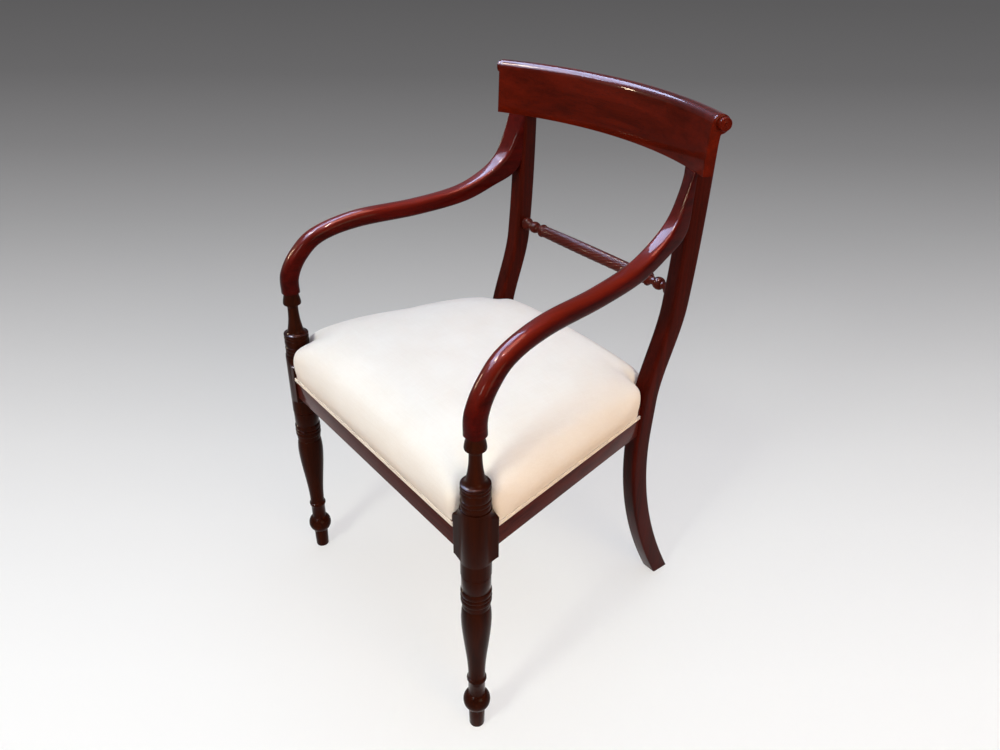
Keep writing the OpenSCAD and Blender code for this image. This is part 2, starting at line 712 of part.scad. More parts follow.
// The end flange sits in a shallow round housing in the upright
rope_y = sabre_y(rope_z) + rope_set;
rope_end = upright_inner(rope_z) + 1.6;
rope_tenon_l = 13;
flange_d = 23;
flange_l = 11;
barrel_end = rope_end - 59;
rope_r = rope_d / 2;
end_r = rope_r - 1;
reel_r = 6.4;

// Turned end between the barrel and the upright
module rope_end_turning() {
  ball = barrel_end + 23;
  rotate_extrude(convexity = 6) polygon(distinct(concat(
    [[0, barrel_end - 3], [end_r - 1.4, barrel_end - 3], [end_r - 1.4, barrel_end - 1]],
    bead(barrel_end - 1, barrel_end + 3.4, end_r - 0.8, 0.9),
    [[end_r - 1.2, barrel_end + 4], [end_r - 0.4, barrel_end + 7]],
    bead(barrel_end + 7.6, barrel_end + 11.6, end_r + 0.2, 1.2),
    ogee(barrel_end + 12.2, end_r - 1.2, barrel_end + 19, reel_r),
    [[reel_r, ball]],
    bead(ball + 0.6, ball + 15.4, reel_r, 10.3 - reel_r),
    [[reel_r, ball + 16], [reel_r, rope_end - flange_l - 4]],
    ogee(rope_end - flange_l - 3.6, reel_r + 0.4, rope_end - flange_l, flange_d / 2 - 3),
    bead(rope_end - flange_l + 0.4, rope_end - 3.6, flange_d / 2 - 2.4, 2.4),
    [[flange_d / 2 - 1.6, rope_end - 3], [flange_d / 2 - 1.6, rope_end]],
    [[rope_tenon_d / 2, rope_end], [rope_tenon_d / 2, rope_end + rope_tenon_l - 1]],
    [[rope_tenon_d / 2 - 1, rope_end + rope_tenon_l], [0, rope_end + rope_tenon_l]]
  )));
}

// The barrel swells a little to its middle; the strands wind round it, with
// four points to each strand
barrel_rings = 38;
strand_shape = [1, 0.3, 0, 0.3];
module rope_barrel() {
  sides = 4 * rope_strands;
  loft([for (k = [0:barrel_rings]) let(
      x = mix(-barrel_end, barrel_end, k / barrel_rings),
      swell = rope_r - pow(x / barrel_end, 2))
    [for (i = [0:sides - 1]) let(
        a = 360 * (i / sides - x / rope_pitch), r = swell - rope_groove * strand_shape[i % 4])
      [r * cos(a), r * sin(a), x]]]);
}

module rope_twist_rail() {
  color(mahogany) translate([0, rope_y, rope_z]) rotate([0, 90, 0]) {
    rope_barrel();
    rope_end_turning();
    mirror([0, 0, 1]) rope_end_turning();
  }
}

// Screws through the uprights and their plugs

module back_screw(z, long) {
  translate([upright_x(z), back_at(z) + bore_start, z])
    rotate([0, 0, -turn_at(z)]) rotate([90, 0, 0]) translate([0, 0, plug_end]) {
      cylinder(d = head_d, h = 1);
      translate([0, 0, 1]) cylinder(d1 = head_d, d2 = screw_d, h = 2);
      translate([0, 0, 2.9]) cylinder(d = screw_d, h = long - 6);
      translate([0, 0, long - 3.2]) cylinder(d1 = screw_d, d2 = 0.8, h = 3);
    }
}
module back_plug(z) {
  translate([upright_x(z), back_at(z) + bore_start, z])
    rotate([0, 0, -turn_at(z)]) rotate([90, 0, 0]) translate([0, 0, bore_start])
      cylinder(d = plug_d, h = plug_depth - glue);
}
module arm_screws() {
  color(steel) both_sides() back_screw(arm_screw_z, arm_screw_l);
}
module crest_screws() {
  color(steel) both_sides() for (z = crest_screw_z) back_screw(z, crest_screw_l);
}
module screw_plugs() {
  color(mahogany) both_sides() {
    back_plug(arm_screw_z);
    for (z = crest_screw_z) back_plug(z);
  }
}

// Seat upholstery

strap_t = 1.2;
along_z = rail_top + glue;
across_z = along_z + strap_t + glue;
hessian_z = across_z + strap_t + 0.9;
stuffing_z = hessian_z + 1 + glue;
skirt_z = rail_z + piping_rise + 2 * piping_d + 0.4;
notch_x = block_inner - 1.2;
notch_y = block_w / 2 + 1.2;
rear_notch_y = side_back_y - 1.5;
rear_notch_x = upright_inner(rail_top) - 1.5;
seat_back_y = back_rail_y + rail_t - leg_y + skirt_set;
seat_front_y = -front_rail_set - skirt_set;

// Tangent arc at the middle one of three points
function round_corner(a, b, c, r, n) = let(
    u = unit(a - b), v = unit(c - b), half = acos(u * v) / 2, t = r / tan(half),
    m = b + unit(u + v) * r / sin(half), from = b + u * t - m, to = b + v * t - m,
    turn = 180 - 2 * half, way = sign(from[0] * to[1] - from[1] * to[0]))
  [for (k = [0:n]) let(g = way * turn * k / n)
    m + [from[0] * cos(g) - from[1] * sin(g), from[0] * sin(g) + from[1] * cos(g)]];

// Corners of the seat's left half seen from above, anticlockwise: x, distance
// behind the leg axis, corner radius, and 1 where the edge may swell
seat_corners = [
  [notch_x, seat_front_y, 7, 1], [notch_x, notch_y, 7, 0],
  [side_x(notch_y) + skirt_set, notch_y, 7, 1],
  [side_x(rear_notch_y) + skirt_set, rear_notch_y, 8, 1],
  [rear_notch_x, rear_notch_y, 5, 0], [rear_notch_x, seat_back_y, 8, 1]
];
function mirrored(list) = [for (i = [len(list) - 1:-1:0]) let(c = list[i]) [-c[0], c[1], c[2], c[3]]];
seat_loop = concat(seat_corners, mirrored(seat_corners));
function between(a, b, n) = n < 1 ? [] : [for (k = [1:n]) mix(a, b, k / (n + 1))];

// Closed outline: points with x, y and how much they may swell, from the corner list
function seat_outline(corner_steps, edge_points) = let(n = len(seat_loop))
  [for (i = [0:n - 1]) let(
      a = seat_loop[(i + n - 1) % n], b = seat_loop[i], c = seat_loop[(i + 1) % n],
      arc = round_corner([a[0], a[1]], [b[0], b[1]], [c[0], c[1]], b[2], corner_steps),
      d = seat_loop[(i + 2) % n],
      after = round_corner([b[0], b[1]], [c[0], c[1]], [d[0], d[1]], c[2], corner_steps)[0],
      end = arc[corner_steps], long = norm(after - end) > seat_run / 3)
    each concat(
      [for (p = arc) [p[0], p[1], b[3]]],
      [for (p = between(end, after, long ? edge_points : 0)) [p[0], p[1], 1]])];
seat_centre = [0, (seat_front_y + seat_back_y) / 2];

// Levels of the seat: height, swell, share of the plan that is left
seat_levels = [
  [skirt_z, 0, 1], [skirt_z + 9, 0.35, 1], [mix(skirt_z, edge_z, 0.62), 0.85, 1], [edge_z, 1, 1],
  [edge_z + 11, 0.75, 0.995], [mix(edge_z, crown_z, 0.44), 0.35, 0.975],
  [mix(edge_z, crown_z, 0.58), 0, 0.94], [mix(edge_z, crown_z, 0.71), 0, 0.87],
  [mix(edge_z, crown_z, 0.83), 0, 0.75], [mix(edge_z, crown_z, 0.92), 0, 0.57],
  [mix(edge_z, crown_z, 0.975), 0, 0.35], [crown_z - 0.3, 0, 0.12]
];

// Ring of the seat at one level, drawn in by inset; near the posts the sides stay upright
function seat_ring(outline, level, inset, floor_z) = let(n = len(outline))
  [for (i = [0:n - 1]) let(
      p = outline[i], before = outline[(i + n - 1) % n], next = outline[(i + 1) % n],
      along = unit([next[0] - before[0], next[1] - before[1]]), out = [along[1], -along[0]],
      q = [p[0], p[1]] + out * (edge_swell * level[1] * p[2] - inset))
    [seat_centre[0] + (q[0] - seat_centre[0]) * level[2],
     leg_y + seat_centre[1] + (q[1] - seat_centre[1]) * level[2],
     max(level[0], floor_z)]];

module seat_solid(outline, inset, levels, low) {
  rings = [for (level = levels) seat_ring(outline, level, inset, low)];
  loft(rings);
}

module rail_spaces(grow) {
  translate([-block_inner - 5, front_face - grow, rail_z])
    cube([2 * block_inner + 10, rail_t + grow, rail_h + grow]);
  translate([-upright_inner(rail_z) - 5, back_rail_y, rail_z])
    cube([2 * upright_inner(rail_z) + 10, rail_t + grow, rail_h + grow]);
  both_sides() translate([0, leg_y, rail_z]) linear_extrude(rail_h + grow) polygon([
    [side_inner(0), 0], [side_x(0) + grow, 0],
    [side_x(side_back_y + 10) + grow, side_back_y + 10], [side_inner(side_back_y + 10), side_back_y + 10]
  ]);
}

module seat_cover() {
  outline = seat_outline(3, 6);
  hollow = [for (k = [0, 3, 5, 7, 9, 11])
    [seat_levels[k][0] - (k == 0 ? 30 : k < 5 ? 0 : cover_t), seat_levels[k][1], seat_levels[k][2]]];
  color(cream) difference() {
    seat_solid(outline, 0, seat_levels, skirt_z);
    seat_solid(seat_outline(2, 3), cover_t, hollow, skirt_z - 20);
    rail_spaces(soft_gap);
    translate([0, 0, rail_z]) both_sides() translate([notch_x - 4, leg_y - 12, 0])
      cube([40, notch_y + 18, rail_h + soft_gap]);
  }
}

module seat_stuffing() {
  low = [[stuffing_z, 0.5, 1], [edge_z, 1, 1]];
  high = [for (k = [5, 7, 9, 11])
    [seat_levels[k][0] - cover_t - soft_gap - 0.5, seat_levels[k][1], seat_levels[k][2]]];
  color("#c9b48a") seat_solid(seat_outline(2, 3), cover_t + soft_gap + 0.3, concat(low, high), 0);
}

// Straps: positions of their middles
strap_margin = 6;
strap_span = upright_inner(rail_z) - strap_w / 2 - strap_margin;
first_strap = front_face + rail_t + strap_w + 2;
last_strap = back_rail_y - strap_w + strap_margin;
function strap_x(i) = mix(-strap_span, strap_span, i / (straps_along - 1));
function strap_y(i) = mix(first_strap, last_strap, i / (straps_across - 1));
along_front = front_face + 4;
along_back = back_rail_y + rail_t - 4;
function across_x(y) = side_x(y - leg_y) - 5;

module webbing_front_to_back() {
  color("#b39a6b") difference() {
    for (i = [0:straps_along - 1])
      translate([strap_x(i) - strap_w / 2, along_front, along_z])
        cube([strap_w, along_back - along_front, strap_t]);
    strap_tacks() tack(fit);
  }
}
module webbing_side_to_side() {
  color("#b39a6b") difference() {
    for (i = [0:straps_across - 1]) let(y = strap_y(i), a = y - strap_w / 2, b = y + strap_w / 2)
      translate([0, 0, across_z]) linear_extrude(strap_t) polygon([
        [-across_x(a), a], [across_x(a), a], [across_x(b), b], [-across_x(b), b]
      ]);
    strap_tacks() tack(fit);
  }
}

// Tacks: three at each end of each strap
tack_l = 11;
module tack(grow = 0) {
  translate([0, 0, -tack_l]) cylinder(d1 = 0.6 + 2 * grow, d2 = 1.8 + 2 * grow, h = tack_l, $fn = 16);
  cylinder(d = 5.5 + 2 * grow, h = 0.6 + grow, $fn = 16);
}
module strap_tacks() {
  for (i = [0:straps_along - 1], k = [-1:1]) {
    translate([strap_x(i) + k * strap_w * 0.34, along_front + 9, along_z + strap_t]) children();
    translate([strap_x(i) + k * strap_w * 0.34, along_back - 9, along_z + strap_t]) children();
  }
  for (i = [0:straps_across - 1], k = [-1:1], side = [-1, 1]) let(y = strap_y(i) + k * strap_w * 0.34)
    translate([side * (across_x(y) - 8), y, across_z + strap_t]) children();
}
module webbing_tacks() {
  color(steel) strap_tacks() tack();
}

module hessian() {
  inset = cover_t + soft_gap + 2;
  color("#a68c5c") translate([0, leg_y, hessian_z]) linear_extrude(1) polygon(
    [for (p = seat_ring(seat_outline(2, 0), [0, 0, 1], inset, 0)) [p[0], p[1] - leg_y]]);
}

// Double piping along the cover's lower edge
module piping_run(long) {
  r = piping_d / 2;
  translate([0, 0, 0]) rotate([90, 0, 90]) linear_extrude(long) union() {
    for (k = [0, 1]) translate([r, r + k * (piping_d - 0.3)]) circle(d = piping_d, $fn = 24);
    translate([0, 0.4]) square([r, 2 * piping_d - 1.1]);
  }
}
piping_z = rail_z + piping_rise;
module seat_piping() {
  side_run = (side_back_y - side_front_y) / cos(side_angle) - 3;
  color(cream) {
    translate([block_inner - 0.6, front_face - glue, piping_z]) rotate([0, 0, 180])
      piping_run(2 * block_inner - 1.2);
    translate([-upright_inner(rail_top) + 0.8, back_rail_y + rail_t + glue, piping_z])
      piping_run(2 * upright_inner(rail_top) - 1.6);
    both_sides() translate([side_x(side_front_y) + glue, leg_y + side_front_y + 0.8, piping_z])
      rotate([0, 0, 90 + side_angle]) mirror([0, 1, 0]) piping_run(side_run);
  }
}

front_leg_left();
front_leg_right();
back_upright_left();
back_upright_right();
seat_rail_front();
seat_rail_back();
seat_rail_left();
seat_rail_right();
arm_left();
arm_right();
crest_rail();
crest_button_left();
crest_button_right();
rope_twist_rail();
corner_block_front_left();
corner_block_front_right();
corner_block_back_left();
corner_block_back_right();
corner_block_screws();
arm_screws();
crest_screws();
screw_plugs();
webbing_front_to_back();
webbing_side_to_side();
webbing_tacks();
hessian();
seat_stuffing();
seat_cover();
seat_piping();
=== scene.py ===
# %% [markdown]
# A desk armchair: turned front legs, sabre back legs, scrolled arms, a curved crest rail with a
# rolled top, a rope-twist back rail, and a stuffed-over seat in cream cotton.
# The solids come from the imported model, which stays the frame of everything here. Each wooden part
# that shows is remade finer than its solid, from the same sizes, so that it catches the light as
# turned and polished wood does.

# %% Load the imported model
import math
import bmesh
import bpy
from mathutils import Matrix, Vector, noise


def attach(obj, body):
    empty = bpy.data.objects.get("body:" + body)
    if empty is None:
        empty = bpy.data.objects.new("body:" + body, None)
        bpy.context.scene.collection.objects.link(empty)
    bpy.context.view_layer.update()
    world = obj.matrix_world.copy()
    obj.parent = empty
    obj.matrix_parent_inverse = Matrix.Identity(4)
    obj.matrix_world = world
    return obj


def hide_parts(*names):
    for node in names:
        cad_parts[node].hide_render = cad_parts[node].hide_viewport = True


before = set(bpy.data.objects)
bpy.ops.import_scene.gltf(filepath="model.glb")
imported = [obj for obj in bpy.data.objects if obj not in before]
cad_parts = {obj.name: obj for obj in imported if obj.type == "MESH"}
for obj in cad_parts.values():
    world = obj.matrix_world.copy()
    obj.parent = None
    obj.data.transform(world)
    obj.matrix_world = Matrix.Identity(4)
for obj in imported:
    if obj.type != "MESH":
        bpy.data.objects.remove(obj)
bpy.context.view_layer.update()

# %% [markdown]
# The pieces are drawn in millimetres, with y measured back from the axes of the front legs, because
# a chair maker sets everything out from there. One matrix turns that into the model's metres when a
# piece is finished, so no object is ever moved, turned or scaled.

# %% Bench and finishing
LEG_Y = -233.65
TO_MODEL = Matrix.Scale(0.001, 4) @ Matrix.Translation((0, LEG_Y, 0))
GLUE = 0.05


def in_scene(name, data):
    thing = bpy.data.objects.new(name, data)
    bpy.context.scene.collection.objects.link(thing)
    return thing


def as_object(bm, name):
    """Turns a bmesh into an object and frees it."""
    mesh = bpy.data.meshes.new(name)
    bm.to_mesh(mesh)
    bm.free()
    return in_scene(name, mesh)


def evaluated(obj):
    """The mesh that an object's modifiers make."""
    bpy.context.view_layer.update()
    return bpy.data.meshes.new_from_object(obj.evaluated_get(bpy.context.evaluated_depsgraph_get()))


def paint(obj, material):
    obj.data.materials.clear()
    obj.data.materials.append(material)


def soften(bm, geom, offset=0.9, segments=3, affect="EDGES", **more):
    """Rounds edges, or corners when affect says VERTICES."""
    bmesh.ops.bevel(bm, geom=geom, offset=offset, offset_type="OFFSET", segments=segments,
                    profile=0.5, affect=affect, material=-1, **more)


def cut_away(bm, point, facing, dist):
    """Cuts a mesh at a plane and drops the part behind the plane."""
    bmesh.ops.bisect_plane(bm, geom=bm.verts[:] + bm.edges[:] + bm.faces[:], dist=dist,
                           plane_co=point, plane_no=facing, clear_inner=True)


def fill_holes(bm):
    bmesh.ops.holes_fill(bm, edges=[e for e in bm.edges if e.is_boundary], sides=0)


def finish_piece(name, bm, material, nodes, crease=35, side=1):
    """Closes the seams of a mesh, turns its faces outwards and makes it a piece of the chair."""
    bmesh.ops.remove_doubles(bm, verts=bm.verts, dist=0.002)
    bmesh.ops.transform(bm, matrix=TO_MODEL @ Matrix.Diagonal((side, 1, 1, 1)), verts=bm.verts)
    bmesh.ops.recalc_face_normals(bm, faces=bm.faces)
    for face in bm.faces:
        face.smooth = True
    for edge in bm.edges:
        edge.smooth = len(edge.link_faces) != 2 or edge.calc_face_angle(0) < math.radians(crease)
    piece = as_object(bm, name)
    paint(piece, material)
    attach(piece, "root")
    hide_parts(*nodes)
    print(name, len(piece.data.polygons), "faces")
    return piece


def mix(a, b, t):
    return a + (b - a) * t


def ease(t):
    t = min(1, max(0, t))
    return t * t * (3 - 2 * t)


# %% [markdown]
# The camera stands where the photograph was taken from: to the sitter's left and in front, looking
# down at about thirty degrees. Its place was solved from twelve pairs of points that mirror each
# other, on the front legs, the crest rail, its buttons and the rope-twist rail. FOCAL, WIDTH and
# HEIGHT are in pixels of the picture.

# %% Camera
AZIMUTH, ELEVATION, ROLL = math.radians(51.896), math.radians(30.691), math.radians(0.697)
EYE = Vector((0.93607, -0.73058, 1.12584))
FOCAL, WIDTH, HEIGHT, SENSOR = 836.46, 1000, 750, 36
back = Vector((math.sin(AZIMUTH) * math.cos(ELEVATION), -math.cos(AZIMUTH) * math.cos(ELEVATION),
               math.sin(ELEVATION)))
right = Vector((0, 0, 1)).cross(back).normalized()
up = back.cross(right)
right, up = (right * math.cos(ROLL) + up * math.sin(ROLL),
             up * math.cos(ROLL) - right * math.sin(ROLL))
lens = bpy.data.cameras.new("camera")
lens.sensor_width = SENSOR
lens.lens = FOCAL * SENSOR / WIDTH
lens.clip_end = 60
camera = in_scene("camera", lens)
camera.matrix_world = Matrix.Translation(EYE) @ Matrix((right, up, back)).transposed().to_4x4()
bpy.context.scene.camera = camera

# %% [markdown]
# Materials come first. A node group is a small tool of its own: it is built once and placed in each
# material with other values. These helpers keep the wiring short enough to read.

# %% Wiring helpers
def new_group(name, inputs, outputs):
    """Starts a node group with named sockets; returns its tree, input node and output node."""
    tree = bpy.data.node_groups.new(name, "ShaderNodeTree")
    for label, kind, value in inputs:
        socket = tree.interface.new_socket(label, in_out="INPUT", socket_type="NodeSocket" + kind)
        if value is not None:
            socket.default_value = value
    for label, kind in outputs:
        tree.interface.new_socket(label, in_out="OUTPUT", socket_type="NodeSocket" + kind)
    return tree, tree.nodes.new("NodeGroupInput"), tree.nodes.new("NodeGroupOutput")


def wire(tree, node, **values):
    """Fills a node's inputs; a value is a number, a colour or another node's output."""
    for key, value in values.items():
        socket = node.inputs[int(key[1:]) if key[1:].isdigit() else key.replace("_", " ")]
        if isinstance(value, bpy.types.NodeSocket):
            tree.links.new(value, socket)
        else:
            socket.default_value = value
    return node


def add(tree, kind, settings=None, **values):
    """Adds a node with its settings and inputs."""
    node = tree.nodes.new("ShaderNode" + kind)
    for key, value in (settings or {}).items():
        setattr(node, key, value)
    return wire(tree, node, **values)


def calc(tree, operation, a, b=0.0, clamp=False):
    return add(tree, "Math", {"operation": operation, "use_clamp": clamp}, i0=a, i1=b).outputs[0]


def blend_colour(tree, factor, a, b, how="MIX"):
    node = add(tree, "Mix", {"data_type": "RGBA", "blend_type": how}, i0=factor, i6=a, i7=b)
    return node.outputs[2]


def steps(tree, value, *stops):
    """A ramp: pairs of a place and a grey number or a colour."""
    node = add(tree, "ValToRGB", i0=value)
    ramp = node.color_ramp
    while len(ramp.elements) < len(stops):
        ramp.elements.new(0.5)
    for element, (place, tint) in zip(ramp.elements, stops):
        element.position = place
        element.color = tint if isinstance(tint, tuple) else (tint, tint, tint, 1)
    return node.outputs[0]


def colour(code):
    """A colour written as on a screen, turned into the linear values that light works in."""
    parts = [int(code[i:i + 2], 16) / 255 for i in (0, 2, 4)]
    return (*[c / 12.92 if c <= 0.04045 else ((c + 0.055) / 1.055) ** 2.4 for c in parts], 1)


def new_material(name, **looks):
    """A material, its tree, its shader with the given looks, and its object coordinates."""
    material = bpy.data.materials.new(name)
    material.use_nodes = True
    tree = material.node_tree
    shader = wire(tree, tree.nodes["Principled BSDF"], **looks)
    return material, tree, shader, add(tree, "TexCoord").outputs["Object"]


# %% [markdown]
# Mahogany shows three things at once: long dark streaks along the grain, a slow change of tone from
# one part of the board to the next, and short fine pores filled with dark polish. All three are
# noise that is stretched along the grain. The wood is sawn, so the grain runs straight through a
# curved part, and object coordinates give just that.

# %% Mahogany figure
figure, given, result = new_group(
    "mahogany figure",
    [("Vector", "Vector", None), ("Dark", "Color", (0.02, 0.004, 0.003, 1)),
     ("Light", "Color", (0.2, 0.03, 0.015, 1)), ("Streaks", "Float", 0.6)],
    [("Color", "Color"), ("Roughness", "Float"), ("Height", "Float")])
place, share = given.outputs["Vector"], given.outputs["Streaks"]
along, broad, short = (add(figure, "Mapping", i0=place, i3=stretch).outputs[0]
                       for stretch in ((3.2, 105, 105), (3.2, 22, 22), (90, 1300, 1300)))
streak = add(figure, "TexNoise", Vector=along, Scale=1.0, Detail=7.0, Roughness=0.62,
             Distortion=0.5)
ribbon = add(figure, "TexNoise", Vector=broad, Scale=1.0, Detail=3.0, Roughness=0.5,
             Distortion=0.3)
pore = add(figure, "TexNoise", Vector=short, Scale=1.0, Detail=1.0, Roughness=0.5)
streak_mask = steps(figure, streak.outputs[0], (0.34, 0), (0.62, 1))
ribbon_mask = steps(figure, ribbon.outputs[0], (0.3, 0), (0.7, 1))
pore_mask = steps(figure, pore.outputs[0], (0.33, 1), (0.43, 0))
both = calc(figure, "ADD", calc(figure, "MULTIPLY", streak_mask, share),
            calc(figure, "MULTIPLY", ribbon_mask, calc(figure, "SUBTRACT", 1.0, share)))
tone = blend_colour(figure, both, given.outputs["Dark"], given.outputs["Light"])
tone = blend_colour(figure, calc(figure, "MULTIPLY", pore_mask, 0.45), tone,
                    (0.012, 0.003, 0.002, 1))
wire(figure, result, Color=tone,
     Roughness=calc(figure, "ADD", 0.26, calc(figure, "MULTIPLY", both, 0.1)),
     Height=calc(figure, "SUBTRACT", calc(figure, "MULTIPLY", streak_mask, 0.25),
                 calc(figure, "MULTIPLY", pore_mask, 0.6)))

# %% [markdown]
# Hands and dusters wear old polish unevenly. One group gives a soft cloudy mask for that: it dulls
# the coat a little in patches and leaves the finest scratches.

# %% Wear of the polish
wear, given, result = new_group("worn polish", [("Vector", "Vector", None)],
                                [("Clouds", "Float"), ("Height", "Float")])
cloud = add(wear, "TexNoise", Vector=given.outputs[0], Scale=22.0, Detail=4.0, Roughness=0.6)
ripple = add(wear, "TexNoise", Vector=given.outputs[0], Scale=130.0, Detail=2.0, Roughness=0.5)
wire(wear, result, Clouds=steps(wear, cloud.outputs[0], (0.35, 0), (0.75, 1)),
     Height=ripple.outputs[0])

# %% [markdown]
# French polish is a clear coat over the stained wood, so the shader has two layers: the wood below
# with its own softer shine, and a sharp coat over it. The turn of the grain, the two tones and the
# share of streaks differ from part to part; the front legs' darker tones are painted shade. On the
# arms a surface that faces up gets a paler tone added: painted light from above.

# %% Polished mahogany
TURN = {"x": (0, 0, 0), "y": (0, 0, math.radians(-90)), "z": (0, math.radians(90), 0)}


def polished(name, grain, dark, light, streaks, painted_top_light=None, centre=(0, 0, 0)):
    """A French-polished mahogany whose grain runs along x, y or z, with an optional paler tone
    painted on its upward faces as light from above.
    """
    material, tree, shader, place = new_material(name, Coat_Roughness=0.05, Coat_IOR=1.09,
                                                 Specular_IOR_Level=0.01)
    turned = add(tree, "Mapping", i0=place, i1=centre, i2=TURN[grain]).outputs[0]
    wood = add(tree, "Group", {"node_tree": figure}, Vector=turned, Dark=colour(dark),
               Light=colour(light), Streaks=streaks)
    worn = add(tree, "Group", {"node_tree": wear}, Vector=place)
    clouds, tone = worn.outputs["Clouds"], wood.outputs["Color"]
    # Painted light: faces that point up get a paler tone added, as if lit from above.
    if painted_top_light:
        facing = add(tree, "SeparateXYZ", i0=add(tree, "TexCoord").outputs["Normal"]).outputs[2]
        upper = steps(tree, facing, (0.25, 0), (0.95, 1))
        top_lit_tone = blend_colour(tree, 1.0, tone, colour(painted_top_light), "ADD")
        tone = blend_colour(tree, upper, tone, top_lit_tone)
    height = calc(tree, "ADD", calc(tree, "MULTIPLY", wood.outputs["Height"], 0.5),
                  calc(tree, "MULTIPLY", worn.outputs["Height"], 0.5))
    wire(tree, shader, Base_Color=tone,
         Roughness=calc(tree, "ADD", wood.outputs["Roughness"],
                        calc(tree, "MULTIPLY", clouds, 0.08)),
         Coat_Weight=calc(tree, "SUBTRACT", 1.0, calc(tree, "MULTIPLY", clouds, 0.2)),
         Normal=add(tree, "Bump", Strength=0.12, Distance=0.0006, Height=height).outputs[0])
    return material


crest_wood = polished("crest mahogany", "x", "360801", "5e1303", 0.45)
# The arms' paler colour is painted light on their upward faces.
arm_wood = polished("arm mahogany", "y", "220302", "4a0904", 0.5, painted_top_light="5c1505", centre=(3, 1, 0))
post_wood = polished("upright mahogany", "z", "240501", "4a0f04", 0.5, centre=(0, 2, 5))
# The front legs take a darker copy of the mahogany: painted shade for the low part of the chair.
shaded_leg_wood = polished("leg mahogany", "z", "160501", "331003", 0.5, centre=(1, 1, 4))
cross_wood = polished("cross rail mahogany", "x", "330d08", "561d13", 0.55, centre=(1, 4, 2))
side_wood = polished("side rail mahogany", "y", "330d08", "561d13", 0.55, centre=(2, 1, 6))

# %% [markdown]
# The cover is a cream cotton. From arm's length its threads melt into a soft, slightly uneven
# white; close up, a plain weave shows. One group makes the weave in all three directions, so that
# it is there on the top and on the sides, and a second pattern adds the slubs of thicker yarn.

# %% Cloth weave
weave, given, result = new_group(
    "plain weave", [("Vector", "Vector", None), ("Thread", "Float", 0.0006)],
    [("Height", "Float"), ("Slubs", "Float")])
pitch = calc(weave, "DIVIDE", math.pi, given.outputs["Thread"])
axes = add(weave, "SeparateXYZ", i0=given.outputs["Vector"])
waves = [calc(weave, "SINE", calc(weave, "MULTIPLY", axes.outputs[i], pitch)) for i in range(3)]
pairs = [calc(weave, "MULTIPLY", waves[i], waves[(i + 1) % 3]) for i in range(3)]
total = calc(weave, "ADD", calc(weave, "ADD", pairs[0], pairs[1]), pairs[2])
weave.links.new(total, result.inputs["Height"])
slubs = [add(weave, "TexNoise", Scale=1.0, Detail=3.0,
             Vector=add(weave, "Mapping", i0=given.outputs["Vector"], i3=stretch).outputs[0])
         for stretch in ((30, 900, 300), (900, 30, 300))]
slub = calc(weave, "ADD", slubs[0].outputs[0], slubs[1].outputs[0])
wire(weave, result, Slubs=calc(weave, "MULTIPLY", slub, 0.5))


def woven(name, light, dark, thread, depth, soft=0.15):
    """A woven cloth: two tones, the thread's width, how deep the weave is and how downy."""
    material, tree, shader, place = new_material(name, Roughness=0.8, Specular_IOR_Level=0.03,
                                                 Sheen_Weight=soft, Sheen_Roughness=0.4)
    cloth = add(tree, "Group", {"node_tree": weave}, Vector=place, Thread=thread)
    cloud = add(tree, "TexNoise", Vector=place, Scale=14.0, Detail=3.0)
    shade = calc(tree, "ADD", calc(tree, "MULTIPLY", cloth.outputs["Slubs"], 0.55),
                 calc(tree, "MULTIPLY", cloud.outputs[0], 0.45))
    height = calc(tree, "ADD", calc(tree, "MULTIPLY", cloth.outputs["Height"], 0.4),
                  calc(tree, "MULTIPLY", cloth.outputs["Slubs"], 0.8))
    wire(tree, shader,
         Base_Color=blend_colour(tree, steps(tree, shade, (0.3, 0), (0.7, 1)), colour(dark),
                                 colour(light)),
         Normal=add(tree, "Bump", Strength=0.35, Distance=depth, Height=height).outputs[0])
    return material


cover_cloth = woven("cream cotton cover", "f7f1e6", "efe6d8", 0.0006, 0.0005)
piping_cloth = woven("cream cotton piping", "f1e7d8", "e2d4bf", 0.0007, 0.0006)
strap_cloth = woven("jute webbing", "b89a63", "8d7243", 0.0022, 0.0012, soft=0.1)
hessian_cloth = woven("hessian", "a98c58", "7d6439", 0.0018, 0.0014, soft=0.1)

# %% [markdown]
# Two plain finishes are left: the pale beech of the corner blocks, which nobody polished, and the
# steel of the screws and the blued tacks.

# %% Beech and steel
def raw_wood(name, light, dark):
    material, tree, shader, place = new_material(name, Roughness=0.7)
    wood = add(tree, "Group", {"node_tree": figure}, Vector=place, Dark=colour(dark),
               Light=colour(light), Streaks=0.6)
    bump = add(tree, "Bump", Strength=0.2, Distance=0.0006, Height=wood.outputs["Height"])
    wire(tree, shader, Base_Color=wood.outputs["Color"], Normal=bump.outputs[0])
    return material


def metal(name, tint, rough):
    material, tree, shader, place = new_material(name, Metallic=1.0)
    speck = add(tree, "TexNoise", Vector=place, Scale=900.0, Detail=3.0).outputs[0]
    dark = tuple(c * 0.45 for c in colour(tint)[:3]) + (1,)
    wire(tree, shader,
         Base_Color=blend_colour(tree, steps(tree, speck, (0.35, 0), (0.6, 1)), dark,
                                 colour(tint)),
         Roughness=calc(tree, "ADD", rough, calc(tree, "MULTIPLY", speck, 0.2)))
    return material


beech = raw_wood("beech corner block", "c79a66", "a87a48")
screw_steel = metal("screw steel", "a2a4a8", 0.25)
tack_steel = metal("blued tack steel", "4d525c", 0.3)
plug_wood = polished("plug mahogany", "y", "2a0a08", "702414", 0.4, centre=(5, 0, 3))

# %% [markdown]
# A turner works from a drawn profile: radius against height, bead by bead. Here the same profile is
# a chain of a few vertices, and spin turns it once round the axis. Small tools draw the usual
# members: a bead, a hollow, a long curve.

